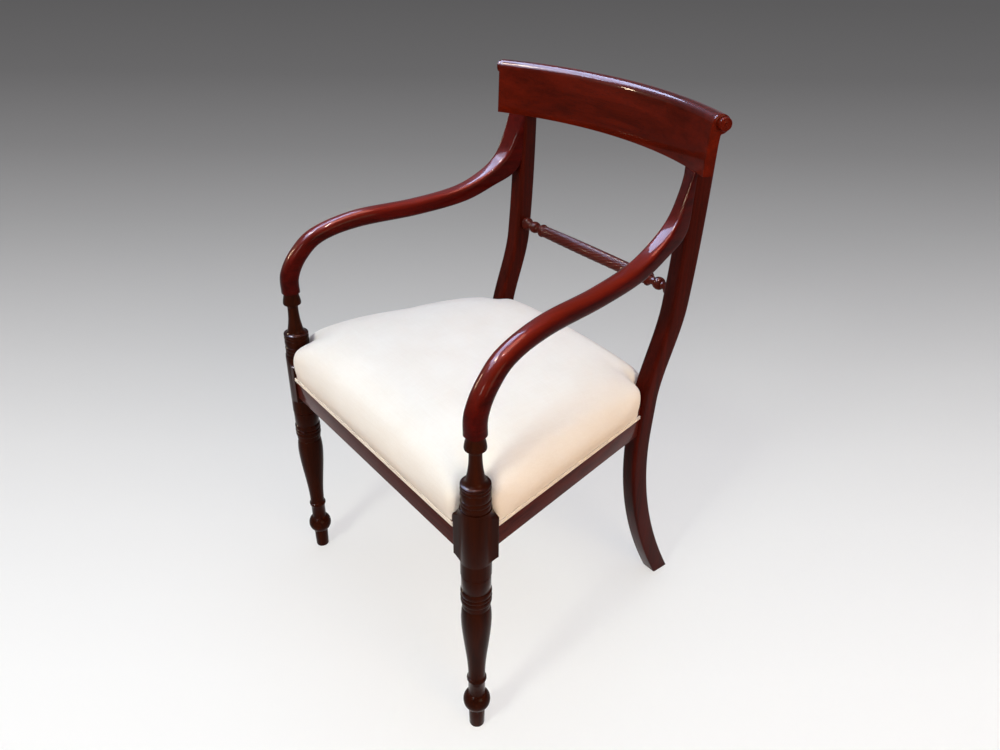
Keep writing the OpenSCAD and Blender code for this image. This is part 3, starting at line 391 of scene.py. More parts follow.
# %% Turner's tools
def bead(z0, z1, r, swell, n=10):
    return [(r + swell * math.sin(a), mix(z0, z1, (1 - math.cos(a)) / 2))
            for a in (math.pi * k / n for k in range(n + 1))]


def quarter(n):
    """The angles of a quarter turn in n steps."""
    return [math.pi / 2 * k / n for k in range(n + 1)]


def dome(z0, r0, z1, r1, n=8):
    return [(mix(r0, r1, 1 - math.cos(a)), mix(z0, z1, math.sin(a))) for a in quarter(n)]


def bowl(z0, r0, z1, r1, n=8):
    return [(mix(r0, r1, math.sin(a)), mix(z0, z1, 1 - math.cos(a))) for a in quarter(n)]


def curve(z0, z1, shape, n=16):
    return [(shape(k / n), mix(z0, z1, k / n)) for k in range(n + 1)]


def turn(bm, profile, axis=Matrix.Identity(4), sides=72):
    """Spins a profile of (radius, height) points once round the axis that the matrix sets."""
    points = [profile[0]]
    for point in profile[1:]:
        if math.dist(point, points[-1]) > 0.03:
            points.append(point)
    before = set(bm.verts)
    chain = [bm.verts.new((r, 0, z)) for r, z in points]
    edges = [bm.edges.new(pair) for pair in zip(chain, chain[1:])]
    bmesh.ops.spin(bm, geom=chain + edges, axis=(0, 0, 1), cent=(0, 0, 0), angle=2 * math.pi,
                   steps=sides, use_merge=True)
    part = [v for v in bm.verts if v not in before]
    bmesh.ops.transform(bm, matrix=axis, verts=part)
    bmesh.ops.remove_doubles(bm, verts=part, dist=0.002)


# %% [markdown]
# The front leg is one piece of mahogany from the floor to the arm: a peg foot under a ball, a
# tapered baluster, a group of rings, the square block that takes the rails, more rings, and a
# small vase that carries the arm. The turned parts are two spins.

# %% Leg profile
LEG_X = 255
BLOCK_BASE, BLOCK_TOP, BLOCK_HALF = 338, 427, 22
LEG_R, FOOT_R, BALL_R, BALL_Z, ANKLE_R, ANKLE_Z = 21.7, 12.5, 20.6, 54.5, 12.7, 102.5
RINGS_Z, RING_R, BALUSTER_Z, BALUSTER_R = BLOCK_BASE - 52, 21.3, BLOCK_BASE - 111, 22
STACK_R, NECK_R, COLLAR_R, ARM_BASE = 20.6, 8.8, 14.8, 541
ball_join = math.sqrt(BALL_R ** 2 - FOOT_R ** 2)
ball_top = math.sqrt(BALL_R ** 2 - ANKLE_R ** 2)
low_angle, high_angle = -math.atan2(ball_join, FOOT_R), math.atan2(ball_top, ANKLE_R)
foot = [(0, 0), (8.8, 0), (10.2, 0.4), (11.3, 1.4), (11.75, 3), (FOOT_R, BALL_Z - ball_join)]
foot += [(BALL_R * math.cos(mix(low_angle, high_angle, k / 20)),
          BALL_Z + BALL_R * math.sin(mix(low_angle, high_angle, k / 20))) for k in range(1, 20)]
foot += [(ANKLE_R, BALL_Z + ball_top), (ANKLE_R, ANKLE_Z - 4.5)]
foot += bead(ANKLE_Z - 3.5, ANKLE_Z + 3.5, ANKLE_R + 0.6, 1.5)
shank = [(ANKLE_R, ANKLE_Z + 5), (ANKLE_R, ANKLE_Z + 9)]
shank += curve(ANKLE_Z + 14, BALUSTER_Z,
               lambda t: mix(ANKLE_R, BALUSTER_R, mix(t, ease(t), 0.7)), 20)
shank += dome(BALUSTER_Z, BALUSTER_R, RINGS_Z - 34, 19, 12)
rings = [(20, RINGS_Z - 33), (21, RINGS_Z - 25)]
rings += bead(RINGS_Z - 24, RINGS_Z - 16, RING_R - 0.5, 1.2)
rings += bead(RINGS_Z - 15.4, RINGS_Z - 9.6, RING_R - 0.6, 1.5)
rings += bead(RINGS_Z - 9, RINGS_Z, RING_R - 0.4, 1.2)
rings += [(RING_R - 0.8, RINGS_Z + 0.4), (RING_R - 0.3, RINGS_Z + 1.2),
          (RING_R - 0.3, BLOCK_BASE - 26), (RING_R - 1, BLOCK_BASE - 25.2),
          (LEG_R, BLOCK_BASE - 24), (LEG_R, BLOCK_BASE + 6), (0, BLOCK_BASE + 6)]
stack = [(0, BLOCK_TOP - 6), (LEG_R, BLOCK_TOP - 6), (LEG_R, BLOCK_TOP - 0.2),
         (STACK_R - 0.8, BLOCK_TOP + 0.2)]
stack += bead(BLOCK_TOP + 0.4, BLOCK_TOP + 9, STACK_R - 0.8, 0.9)
stack += bead(BLOCK_TOP + 9.4, BLOCK_TOP + 16.4, STACK_R - 1, 1.2)
stack += bead(BLOCK_TOP + 17, BLOCK_TOP + 29.2, STACK_R - 1, 1)
stack += bead(BLOCK_TOP + 29.8, BLOCK_TOP + 35.4, STACK_R - 1.1, 1.1)
VASE_Z, COLLAR_Z = BLOCK_TOP + 36, ARM_BASE - 20
stack += [(STACK_R - 0.6, VASE_Z), (STACK_R, VASE_Z + 1.6), (STACK_R - 0.3, VASE_Z + 3.2)]
stack += bowl(VASE_Z + 3.2, STACK_R - 0.6, VASE_Z + 12, 12.6)
stack += curve(VASE_Z + 13, COLLAR_Z - 11, lambda t: mix(12.4, NECK_R, 1 - (1 - t) ** 2), 10)
stack += [(NECK_R, COLLAR_Z - 6.5)]
stack += dome(COLLAR_Z - 6, NECK_R + 0.4, COLLAR_Z - 0.6, COLLAR_R - 0.3)
stack += [(COLLAR_R, COLLAR_Z + 0.6), (COLLAR_R, COLLAR_Z + 2.4)]
stack += curve(COLLAR_Z + 3, COLLAR_Z + 17, lambda t: mix(COLLAR_R - 0.2, 12.3, ease(t)), 8)
stack += [(12.3, ARM_BASE - 0.1), (0, ARM_BASE - 0.1)]

# %% [markdown]
# The block is square but for its outer front corner, which keeps the round of the leg, and its ends
# run out in turned shoulders. A cube gives the square, a bevel 22 mm wide gives the round corner,
# and a Boolean with a spun dome cuts the shoulders just as the turner's gouge does.

# %% Leg block
def leg_block():
    """The square block of the left front leg, on its own axis, in millimetres."""
    middle = (BLOCK_BASE + BLOCK_TOP) / 2
    bm = bmesh.new()
    bmesh.ops.create_cube(bm, size=1)
    bmesh.ops.scale(bm, vec=(2 * BLOCK_HALF, 2 * BLOCK_HALF, BLOCK_TOP - BLOCK_BASE + 2),
                    verts=bm.verts)
    bmesh.ops.translate(bm, vec=(0, 0, middle), verts=bm.verts)
    upright = [e for e in bm.edges if abs(e.verts[0].co.z - e.verts[1].co.z) > 1]
    soften(bm, [e for e in upright if e.verts[0].co.x > 0 and e.verts[0].co.y < 0], BLOCK_HALF, 16)
    sharp = [e for e in bm.edges if abs(e.verts[0].co.z - e.verts[1].co.z) > 1
             and all(abs(abs(c) - BLOCK_HALF) < 0.01 for c in e.verts[0].co[:2])]
    soften(bm, sharp)
    bmesh.ops.recalc_face_normals(bm, faces=bm.faces)
    square = as_object(bm, "square")
    bm = bmesh.new()
    corner = BLOCK_HALF * math.sqrt(2) + 0.5
    shoulders = [(0, BLOCK_BASE)] + dome(BLOCK_BASE, LEG_R, BLOCK_BASE + 7, corner, 14)
    shoulders += [(mix(LEG_R, corner, 1 - math.cos(math.radians(a))),
                   BLOCK_TOP - 14 * math.sin(math.radians(a))) for a in range(90, -1, -6)]
    turn(bm, shoulders + [(0, BLOCK_TOP)], sides=96)
    bmesh.ops.recalc_face_normals(bm, faces=bm.faces)
    gouge = as_object(bm, "gouge")
    cut = square.modifiers.new("shoulders", "BOOLEAN")
    cut.operation, cut.solver, cut.object = "INTERSECT", "EXACT", gouge
    shaped = evaluated(square)
    for thing in (square, gouge):
        bpy.data.objects.remove(thing)
    return shaped


block_mesh = leg_block()
print("block", len(block_mesh.polygons), "faces")

# %% Front legs
for name, side in (("front_leg_left", 1), ("front_leg_right", -1)):
    bm = bmesh.new()
    bm.from_mesh(block_mesh)
    turn(bm, foot + shank + rings)
    turn(bm, stack)
    bmesh.ops.translate(bm, vec=(LEG_X, 0, 0), verts=bm.verts)
    finish_piece(name + "_turned", bm, shaded_leg_wood, [name], side=side)

# %% [markdown]
# Curved parts that change section along their length, such as the sabre leg and the arm, are
# grown ring by ring: one closed ring of vertices is extruded edge by edge, and each new ring is
# set to the section at that place. It is how a boat is planked from its frames.

# %% Growing from rings
def first_ring(bm, points):
    ring = [bm.verts.new(p) for p in points]
    for i, vert in enumerate(ring):
        bm.edges.new((vert, ring[(i + 1) % len(ring)]))
    return ring


def next_ring(bm, ring, points):
    """Extrudes a ring and sets its new vertices to the given points, in the same order."""
    edges = [bm.edges.get((vert, ring[(i + 1) % len(ring)])) for i, vert in enumerate(ring)]
    fresh = {v for v in bmesh.ops.extrude_edge_only(bm, edges=edges)["geom"]
             if isinstance(v, bmesh.types.BMVert)}
    ring = [next(e.other_vert(v) for e in v.link_edges if e.other_vert(v) in fresh) for v in ring]
    for vert, point in zip(ring, points):
        vert.co = point
    return ring


def grow(bm, sections):
    """A closed solid through a list of sections with the same number of points."""
    start = ring = first_ring(bm, sections[0])
    for section in sections[1:]:
        ring = next_ring(bm, ring, section)
    bm.faces.new(start)
    bm.faces.new(ring)


def sweep(bm, points, **spin):
    """A closed solid: a ring of points spun part of a turn, with both ends filled."""
    ring = first_ring(bm, points)
    spun = bmesh.ops.spin(bm, geom=bm.verts[:] + bm.edges[:], axis=(0, 0, 1), cent=(0, 0, 0),
                          **spin)
    bm.faces.new(ring)
    bmesh.ops.contextual_create(bm, geom=[e for e in spun["geom_last"]
                                          if isinstance(e, bmesh.types.BMEdge)])


# %% [markdown]
# Each back leg and upright is sawn from one plank. It sweeps back below the seat, stands almost
# straight at the seat rail, sweeps back again and then up to the crest. The line is four smooth
# pieces that share their slopes, and the section is a rectangle with rounded edges that turns a
# little in plan on its way up to meet the curve of the crest.

# %% Line of the uprights
FOOT_HALF, SEAT_RUN, RAIL_Z, RAIL_H, RAIL_T, CREST_Z = 180.5, 381, 354, 54, 24, 780
RAIL_TOP = RAIL_Z + RAIL_H
HEEL_BACK, CREST_BACK, SEAT_RAKE, TOP_RAKE = 96, 57, 0.06, 0.025
SABRE = [(0, HEEL_BACK, -2 * HEEL_BACK / RAIL_Z), (RAIL_Z, 0, SEAT_RAKE),
         (RAIL_TOP, SEAT_RAKE * RAIL_H, SEAT_RAKE), (mix(RAIL_TOP, CREST_Z, 0.435), 45, 0.1),
         (CREST_Z, CREST_BACK, TOP_RAKE)]
UPRIGHT_W, UPRIGHT_D, ARM_TIP = 28.4, 34, 3


def sabre_y(z):
    if z > CREST_Z:
        return SEAT_RUN + CREST_BACK + TOP_RAKE * (z - CREST_Z)
    a, b = next((a, b) for a, b in zip(SABRE, SABRE[1:]) if z <= b[0])
    h = b[0] - a[0]
    t = (z - a[0]) / h
    return (SEAT_RUN + a[1] * (2 * t ** 3 - 3 * t * t + 1) + a[2] * h * (t ** 3 - 2 * t * t + t)
            + b[1] * (3 * t * t - 2 * t ** 3) + b[2] * h * (t ** 3 - t * t))


def upright_x(z):
    return FOOT_HALF + 0.017 * z


def turn_at(z):
    return math.radians(12) * ease((z - RAIL_TOP) / (CREST_Z - RAIL_TOP))


def upright_section(z, r, front=0.0, corner_steps=7):
    w, d, turned = UPRIGHT_W / 2, UPRIGHT_D / 2, turn_at(z)
    points = []
    for cx, cy, first in ((w - r, d - r, 0), (r - w, d - r, 90), (r - w, front - d + r, 180),
                          (w - r, front - d + r, 270)):
        for k in range(corner_steps):
            a = math.radians(first + 90 * k / (corner_steps - 1))
            x, y = cx + r * math.cos(a), cy + r * math.sin(a)
            points.append((upright_x(z) + x * math.cos(turned) + y * math.sin(turned),
                           sabre_y(z) - x * math.sin(turned) + y * math.cos(turned), z))
    return points


# %% [markdown]
# The crest rail is part of a ring, so its centre lies in front of the chair, on the axis that both
# its faces share. The upright ends in a tongue behind it, and bisect_plane cuts the tongue's front
# to the back of the crest.

# %% Back uprights
CREST_R, CREST_HALF, CREST_T, CREST_H, ROLL_R, RAKE = 530, math.radians(25.4), 15, 70.4, 13.6, 3.4
upright_face = SEAT_RUN + CREST_BACK - UPRIGHT_D / 2 - ARM_TIP
crest_y = upright_face - math.sqrt(CREST_R ** 2 - upright_x(CREST_Z) ** 2)
tongue_turn = math.asin(upright_x(CREST_Z) / (CREST_R + CREST_T))
tongue_top = CREST_Z + CREST_H - ROLL_R - 2.5
out = Vector((math.sin(tongue_turn), math.cos(tongue_turn), 0))
cut_at = Vector((0, crest_y, CREST_Z)) + out * (CREST_R + CREST_T + 0.1)
cut_facing = Vector((out.x, out.y, -RAKE / CREST_H))
tongue_heights = [CREST_Z + 0.2, mix(CREST_Z, tongue_top, 0.5), tongue_top - 2, tongue_top]
stile_heights = ([RAIL_Z * k / 40 for k in range(41)] + [RAIL_TOP]
                 + [mix(RAIL_TOP, CREST_Z, k / 44) for k in range(1, 45)])


def grow_upright(bm, heights, front):
    grow(bm, [upright_section(z, mix(2.5, 6, ease(z / RAIL_Z)), front) for z in heights])


for name, side in (("back_upright_left", 1), ("back_upright_right", -1)):
    bm = bmesh.new()
    grow_upright(bm, tongue_heights, ARM_TIP)
    cut_away(bm, cut_at, cut_facing, 0.001)
    fill_holes(bm)
    grow_upright(bm, stile_heights, 0)
    finish_piece(name + "_sabre", bm, post_wood, [name], crease=40, side=side)

# %% [markdown]
# The arm rises from the leg in a tight scroll, runs level, dips, and climbs the front of the
# upright to end thin under the crest. Two drawn lines, the upper and the lower edge, give its depth
# at each place; its section is nearly round in front and gets squarer and turns outwards behind.

# %% Arm lines
ARM_Z, ARM_D, ARM_FRONT_W = 649, 27.6, 29.8
arm_end_z = mix(ARM_Z, CREST_Z, 0.7)
arm_from = Vector((LEG_X, 0))
arm_to = Vector((upright_x(arm_end_z), sabre_y(CREST_Z) - UPRIGHT_D / 2))
run = (arm_to - arm_from).length
ahead = (arm_to - arm_from) / run
h, f = ARM_D / 2, ARM_FRONT_W / 2


def meets_upright(z):
    return (sabre_y(z) - UPRIGHT_D / 2 - GLUE) / ahead.y


UPPER = [(-f, ARM_BASE), (2.4 - f, ARM_BASE + 33.5), (9.1, ARM_Z - 38), (47.2, ARM_Z - 7.7),
         (122, ARM_Z + h - 3.2), (0.53 * run, ARM_Z + h), (0.716 * run, ARM_Z + 21.9),
         (run - 69.5, ARM_Z + 40), (run - 35.3, ARM_Z + 64.3), (run - 15.5, CREST_Z - 31.7),
         (run - ARM_TIP, CREST_Z - GLUE)]
LOWER = [(f, ARM_BASE), (f + 1.2, ARM_BASE + 24.5), (31.3, ARM_Z - 55), (62.4, ARM_Z - 29.8),
         (124, ARM_Z - h - 3.2), (0.535 * run, ARM_Z - h), (0.743 * run, ARM_Z - 3.5),
         (run - 50, ARM_Z + 18), (run - 16, ARM_Z + 34), (meets_upright(ARM_Z + 60), ARM_Z + 60),
         (meets_upright(CREST_Z), CREST_Z - GLUE)]
ARM_STEPS = 14


def along_line(line, k):
    i, t = divmod(k, ARM_STEPS)
    if i >= len(line) - 1:
        return line[-1]
    t /= ARM_STEPS
    a, b, c, d = (line[min(max(i + j, 0), len(line) - 1)] for j in (-1, 0, 1, 2))
    return tuple(0.5 * (2 * b[n] + (c[n] - a[n]) * t
                        + (2 * a[n] - 5 * b[n] + 4 * c[n] - d[n]) * t * t
                        + (3 * b[n] - a[n] - 3 * c[n] + d[n]) * t ** 3) for n in (0, 1))


def power(value, n):
    return math.copysign(abs(value) ** (2 / n), value)


def arm_section(k, last, sides=40):
    t = k / last
    top, low = along_line(UPPER, k), along_line(LOWER, k)
    low = (min(low[0], meets_upright(low[1])), low[1])
    crisp = mix(2.3, 7, ease((t - 0.45) / 0.5))
    front_width = mix(ARM_FRONT_W, ARM_D + 1, ease(t * 4))
    width = mix(front_width, UPRIGHT_W + 2.4, ease((t - 0.6) / 0.35)) / 2
    top_turn = math.radians(26) * ease((t - 0.55) / 0.4)
    low_turn = turn_at(low[1]) * ease((t - 0.55) / 0.35)
    square_on = ahead.x * (1 - ease((t - 0.55) / 0.4))
    points = []
    for i in range(sides):
        a = -2 * math.pi * i / sides
        across, height = power(math.cos(a), crisp), (power(math.sin(a), crisp) + 1) / 2
        turned = mix(low_turn, top_turn, height)
        s, z = mix(low[0], top[0], height), mix(low[1], top[1], height)
        points.append((LEG_X + ahead.x * s + across * width * math.cos(turned),
                       ahead.y * s - across * width * (math.sin(turned) + square_on), z))
    return points


# %% Arms
for name, side in (("arm_left", 1), ("arm_right", -1)):
    bm = bmesh.new()
    last = (len(UPPER) - 1) * ARM_STEPS
    grow(bm, [arm_section(k, last) for k in range(last + 1)])
    finish_piece(name + "_scroll", bm, arm_wood, [name], crease=50, side=side)

# %% [markdown]
# The crest rail is one section swept round that axis: a board that leans back slightly, with a
# rolled top that stands out behind. A part-turn of spin sweeps it, the two ends are closed, and a
# small bevel takes the sharpness off its edges.

# %% Crest rail
roll_x, roll_z = CREST_R + RAKE + ROLL_R, CREST_Z + CREST_H
outline = [(CREST_R, CREST_Z), (CREST_R + RAKE * 0.5, CREST_Z + CREST_H * 0.5)]
outline += [(roll_x + ROLL_R * math.cos(math.radians(a)),
             roll_z + ROLL_R * math.sin(math.radians(a))) for a in range(180, -81, -10)]
outline += [(roll_x + 1.9, roll_z - ROLL_R - 0.4), (roll_x + 1.1, roll_z - ROLL_R - 1.6),
            (CREST_R + CREST_T + RAKE * 0.6, CREST_Z + CREST_H * 0.6),
            (CREST_R + CREST_T, CREST_Z)]
start = Matrix.Rotation(CREST_HALF, 3, "Z")
bm = bmesh.new()
sweep(bm, [start @ Vector((0, r, z)) for r, z in outline], angle=-2 * CREST_HALF, steps=90)
bmesh.ops.recalc_face_normals(bm, faces=bm.faces)
soften(bm, [e for e in bm.edges if e.calc_face_angle(0) > math.radians(50)], 0.7, 2,
       clamp_overlap=True)
bmesh.ops.translate(bm, vec=(0, crest_y, 0), verts=bm.verts)
finish_piece("crest_rail_swept", bm, crest_wood, ["crest_rail"], crease=40)

# %% [markdown]
# A small turned button closes each end of the roll. It has a flat rim and a shallow dished middle.

# %% Crest buttons
BUTTON_R, BUTTON_L, BUTTON_SET, BUTTON_RISE = 9.4, 8, 2.6, 1.4
button = [(0, -3), (3.4, -3), (3.4, 0.05), (BUTTON_R - 0.7, 0.05), (BUTTON_R, 0.8),
          (BUTTON_R, BUTTON_L - 2)]
button += [(BUTTON_R - 1.8 * (1 - math.cos(math.radians(a))),
            BUTTON_L - 2 + 1.9 * math.sin(math.radians(a))) for a in range(0, 91, 15)]
button += [(BUTTON_R - 2.6, BUTTON_L - 0.6), (4.4, BUTTON_L - 0.35), (2.6, BUTTON_L),
           (1.7, BUTTON_L - 1.0), (0.7, BUTTON_L - 1.4), (0, BUTTON_L - 1.5)]
for name, side in (("crest_button_left", 1), ("crest_button_right", -1)):
    bm = bmesh.new()
    place = (Matrix.Translation((0, crest_y, roll_z + BUTTON_RISE))
             @ Matrix.Rotation(math.pi / 2 - CREST_HALF, 4, "Z")
             @ Matrix.Translation((roll_x + BUTTON_SET, 0, 0))
             @ Matrix.Rotation(math.pi / 2, 4, "X"))
    turn(bm, button, axis=place, sides=48)
    finish_piece(name + "_turned", bm, crest_wood, [name], side=side)

# %% [markdown]
# The rope-twist rail is turned first and carved after. A ring with twelve shallow grooves is spun
# along the axis, so that each step moves it on and turns it a little: the grooves become strands.
# The ends keep their turning: a ring, a ball between two necks, and a flange at the upright.

# %% Rope-twist rail
ROPE_Z, ROPE_R, GROOVE, STRANDS, ROPE_PITCH, TWIST_STEPS = 588, 11, 1.1, 12, 186, 80
rope_y = sabre_y(ROPE_Z) + 3
rope_end = upright_x(ROPE_Z) - UPRIGHT_W / 2 + 1.6
barrel = rope_end - 59
FLANGE_R, FLANGE_L, REEL_R, END_R = 11.5, 11, 6.4, 10
ball = barrel + 23
rope_turning = [(0, barrel - 3), (END_R - 1.4, barrel - 3), (END_R - 1.4, barrel - 1)]
rope_turning += bead(barrel - 1, barrel + 3.4, END_R - 0.8, 0.9)
rope_turning += [(END_R - 1.2, barrel + 4), (END_R - 0.4, barrel + 7)]
rope_turning += bead(barrel + 7.6, barrel + 11.6, END_R + 0.2, 1.2)
rope_turning += curve(barrel + 12.2, barrel + 19, lambda t: mix(END_R - 1.2, REEL_R, ease(t)), 8)
rope_turning += [(REEL_R, ball)] + bead(ball + 0.6, ball + 15.4, REEL_R, 10.3 - REEL_R, 14)
rope_turning += [(REEL_R, ball + 16), (REEL_R, rope_end - FLANGE_L - 4)]
rope_turning += curve(rope_end - FLANGE_L - 3.6, rope_end - FLANGE_L,
                      lambda t: mix(REEL_R + 0.4, FLANGE_R - 3, ease(t)), 6)
rope_turning += bead(rope_end - FLANGE_L + 0.4, rope_end - 3.6, FLANGE_R - 2.4, 2.4)
rope_turning += [(FLANGE_R - 1.6, rope_end - 3), (FLANGE_R - 1.6, rope_end - 0.1),
                 (0, rope_end - 0.1)]

ring = []
for i in range(STRANDS * 8):
    a = 2 * math.pi * i / (STRANDS * 8)
    r = ROPE_R - GROOVE * abs(math.cos(a * STRANDS / 2)) ** 3
    ring.append((r * math.cos(a), r * math.sin(a), -barrel))
bm = bmesh.new()
sweep(bm, ring, angle=-2 * math.pi * 2 * barrel / ROPE_PITCH, steps=TWIST_STEPS,
      dvec=(0, 0, 2 * barrel / TWIST_STEPS))
for vert in bm.verts:
    narrow = 1 - (vert.co.z / barrel) ** 2 / ROPE_R
    vert.co.x, vert.co.y = vert.co.x * narrow, vert.co.y * narrow
turn(bm, rope_turning, sides=48)
turn(bm, [(r, -z) for r, z in rope_turning], sides=48)
across = Matrix.Translation((0, rope_y, ROPE_Z)) @ Matrix.Rotation(math.pi / 2, 4, "Y")
bmesh.ops.transform(bm, matrix=across, verts=bm.verts)
finish_piece("rope_twist_rail_carved", bm, cross_wood, ["rope_twist_rail"], crease=60)

# %% [markdown]
# The four seat rails are sawn boards. Each starts as a cube that is scaled to its size and sheared
# to its line, and a bevel gives the soft edge that sanding and polish leave.

# %% Seat rails
FRONT_FACE = -19.3
SIDE_FRONT = BLOCK_HALF
SIDE_BACK = sabre_y(RAIL_Z) - UPRIGHT_D / 2
side_x0 = LEG_X + 12
side_x1 = upright_x(RAIL_Z) + UPRIGHT_W / 2 - 2.5
slope = (side_x0 - side_x1) / (SIDE_BACK - SIDE_FRONT)
side_angle = math.atan(slope)
BACK_RAIL_Y = SEAT_RUN - RAIL_T / 2


def side_x(y):
    return side_x0 - slope * (y - SIDE_FRONT)


def upright_inner(z):
    return upright_x(z) - UPRIGHT_W / 2


def board(corners, name, nodes, material, side=1):
    """A board from its corners: eight points, low four first, each four in the same order."""
    bm = bmesh.new()
    bmesh.ops.create_cube(bm, size=1)
    for vert in bm.verts:
        x, y, z = (1 if value > 0 else 0 for value in vert.co)
        vert.co = corners[x + 2 * y + 4 * z]
    bmesh.ops.recalc_face_normals(bm, faces=bm.faces)
    soften(bm, bm.edges[:])
    return finish_piece(name, bm, material, nodes, side=side)


inner = LEG_X - BLOCK_HALF - GLUE
board([(x, y, z) for z in (RAIL_Z, RAIL_TOP) for y in (FRONT_FACE, FRONT_FACE + RAIL_T)
       for x in (-inner, inner)], "seat_rail_front_board", ["seat_rail_front"], cross_wood)
board([(s * (upright_inner(z) - GLUE), y, z) for z in (RAIL_Z, RAIL_TOP)
       for y in (BACK_RAIL_Y, BACK_RAIL_Y + RAIL_T) for s in (-1, 1)],
      "seat_rail_back_board", ["seat_rail_back"], cross_wood)
thick = RAIL_T / math.cos(side_angle)
side_ends = ((RAIL_Z, SIDE_BACK - GLUE), (RAIL_TOP, SIDE_BACK - GLUE + SEAT_RAKE * RAIL_H))
for name, side in (("seat_rail_left", 1), ("seat_rail_right", -1)):
    board([(side_x(y) - (thick if x == 0 else 0), y, z) for z, end in side_ends
           for y in (SIDE_FRONT + GLUE, end) for x in (0, 1)],
          name + "_board", [name], side_wood, side)

# %% [markdown]
# The seat is stuffed over the rails: hair on hessian on webbing, under one cotton cover that is
# pulled down over the rails. The cushion starts as a drawn form. It is remeshed into even cells,
# and a cloth simulation with a little air pressure swells it, so that the cotton is taut over the
# edge and pulls in at the posts. The cap keeps every point near its place. Small folds are smoothed
# away after that, and last the pad is cut level above the piping and hemmed.

# %% Seat outline
SKIRT = 1.9
EDGE_SWELL, CROWN_Z, SKIRT_Z, HOLLOW_Z = 5.5, 488, 396.2, 412.6
notch_x, notch_y = LEG_X - BLOCK_HALF - 1.2, BLOCK_HALF + 1.2
rear_y, rear_x = SIDE_BACK - 1.5, upright_inner(RAIL_TOP) - 1.5
corners = [(notch_x, FRONT_FACE - SKIRT, 7), (notch_x, notch_y, 7),
           (side_x(notch_y) + SKIRT, notch_y, 7), (side_x(rear_y) + SKIRT, rear_y, 8),
           (rear_x, rear_y, 5), (rear_x, BACK_RAIL_Y + RAIL_T + SKIRT, 8)]
corners += [(-x, y, r) for x, y, r in reversed(corners)]
posts = [Vector((s * x, y)) for s in (1, -1) for x, y in ((notch_x, notch_y), (rear_x, rear_y))]
bm = bmesh.new()
loop = [bm.verts.new((x, y, 0)) for x, y, r in corners]
bm.faces.new(loop)
for vert, (x, y, r) in zip(loop, corners):
    soften(bm, [vert], r, 6, affect="VERTICES")
long_edges = [e for e in bm.edges if e.calc_length() > 100]
bmesh.ops.subdivide_edges(bm, edges=long_edges, cuts=24)
bm.faces.ensure_lookup_table()
outline = [Vector((v.co.x, v.co.y)) for v in bm.faces[0].verts]
bm.free()
turning = sum(a.x * b.y - b.x * a.y for a, b in zip(outline, outline[1:] + outline[:1]))
if turning < 0:
    outline.reverse()
middle = Vector((0, (FRONT_FACE - SKIRT + BACK_RAIL_Y + RAIL_T + SKIRT) / 2))
print("seat outline", len(outline), "points")


# %% Cushion form
HALF_Y = middle.y - FRONT_FACE + SKIRT


def seat_section(z, swell, inset, smooth):
    """One level of the pad; smooth leads it from the notched outline to one with round corners."""
    points = []
    for i, p in enumerate(outline):
        along = (outline[(i + 1) % len(outline)] - outline[i - 1]).normalized()
        free = ease((min((p - post).length for post in posts) - 6) / 26)
        notched = p + Vector((along.y, -along.x)) * (EDGE_SWELL * swell * free - min(inset, 4))
        step = p - middle
        u, v = step.x / (side_x(p.y) + SKIRT - inset), step.y / (HALF_Y - inset)
        rounded = middle + step * (abs(u) ** 3.5 + abs(v) ** 3.5) ** (-1 / 3.5)
        q = notched.lerp(rounded, smooth)
        points.append((q.x, q.y, z))
    return points


LEVELS = [(SKIRT_Z - 8, 0, 0.6, 0), (SKIRT_Z, 0, 0.6, 0), (405, 0.5, 0.4, 0), (416, 0.95, 0, 0),
          (428, 1.1, 0, 0), (440, 1.05, 0.5, 0), (450, 0.9, 2, 0.08), (458, 0.65, 4, 0.3),
          (465, 0.35, 9, 0.62), (471, 0.1, 17, 0.9), (476.5, 0, 30, 1), (481, 0, 51, 1),
          (484.8, 0, 84, 1), (487.2, 0, 124, 1), (CROWN_Z, 0, 170, 1)]
bm = bmesh.new()
grow(bm, [seat_section(*level) for level in LEVELS])
bmesh.ops.triangulate(bm, faces=[face for face in bm.faces if len(face.verts) > 4])
cushion = finish_piece("seat_cushion", bm, cover_cloth,
                       ["seat_cover", "seat_stuffing"])


# %% Swell the cushion
def apply_modifiers(obj):
    mesh = evaluated(obj)
    obj.modifiers.clear()
    old, obj.data = obj.data, mesh
    bpy.data.meshes.remove(old)


def remesh(obj, cell):
    modifier = obj.modifiers.new("cells", "REMESH")
    modifier.mode, modifier.voxel_size = "VOXEL", cell
    apply_modifiers(obj)


def puff(obj, held, pressure=1.5, frames=20, cap=0.003):
    """Swells a closed mesh as cloth under pressure; held says which points stay."""
    rest = [v.co.copy() for v in obj.data.vertices]
    pins = obj.vertex_groups.new(name="held")
    pins.add([i for i, co in enumerate(rest) if held(co)], 1.0, "REPLACE")
    modifier = obj.modifiers.new("air", "CLOTH")
    cloth = modifier.settings
    cloth.quality, cloth.mass = 5, 0.3
    cloth.use_pressure, cloth.uniform_pressure_force = True, pressure
    cloth.effector_weights.gravity = 0
    cloth.vertex_group_mass = "held"
    modifier.collision_settings.use_collision = False
    for number in range(1, frames + 1):
        bpy.context.scene.frame_set(number)
    swollen = obj.evaluated_get(bpy.context.evaluated_depsgraph_get()).to_mesh()
    moves = [swollen.vertices[i].co - co for i, co in enumerate(rest)]
    obj.modifiers.clear()
    obj.vertex_groups.clear()
    for vert, co, move in zip(obj.data.vertices, rest, moves):
        vert.co = co + move * min(1, cap / max(move.length, 1e-9))
    bpy.context.scene.frame_set(1)
    print(obj.name, "moved at most", round(max(m.length for m in moves) * 1000, 1), "mm")


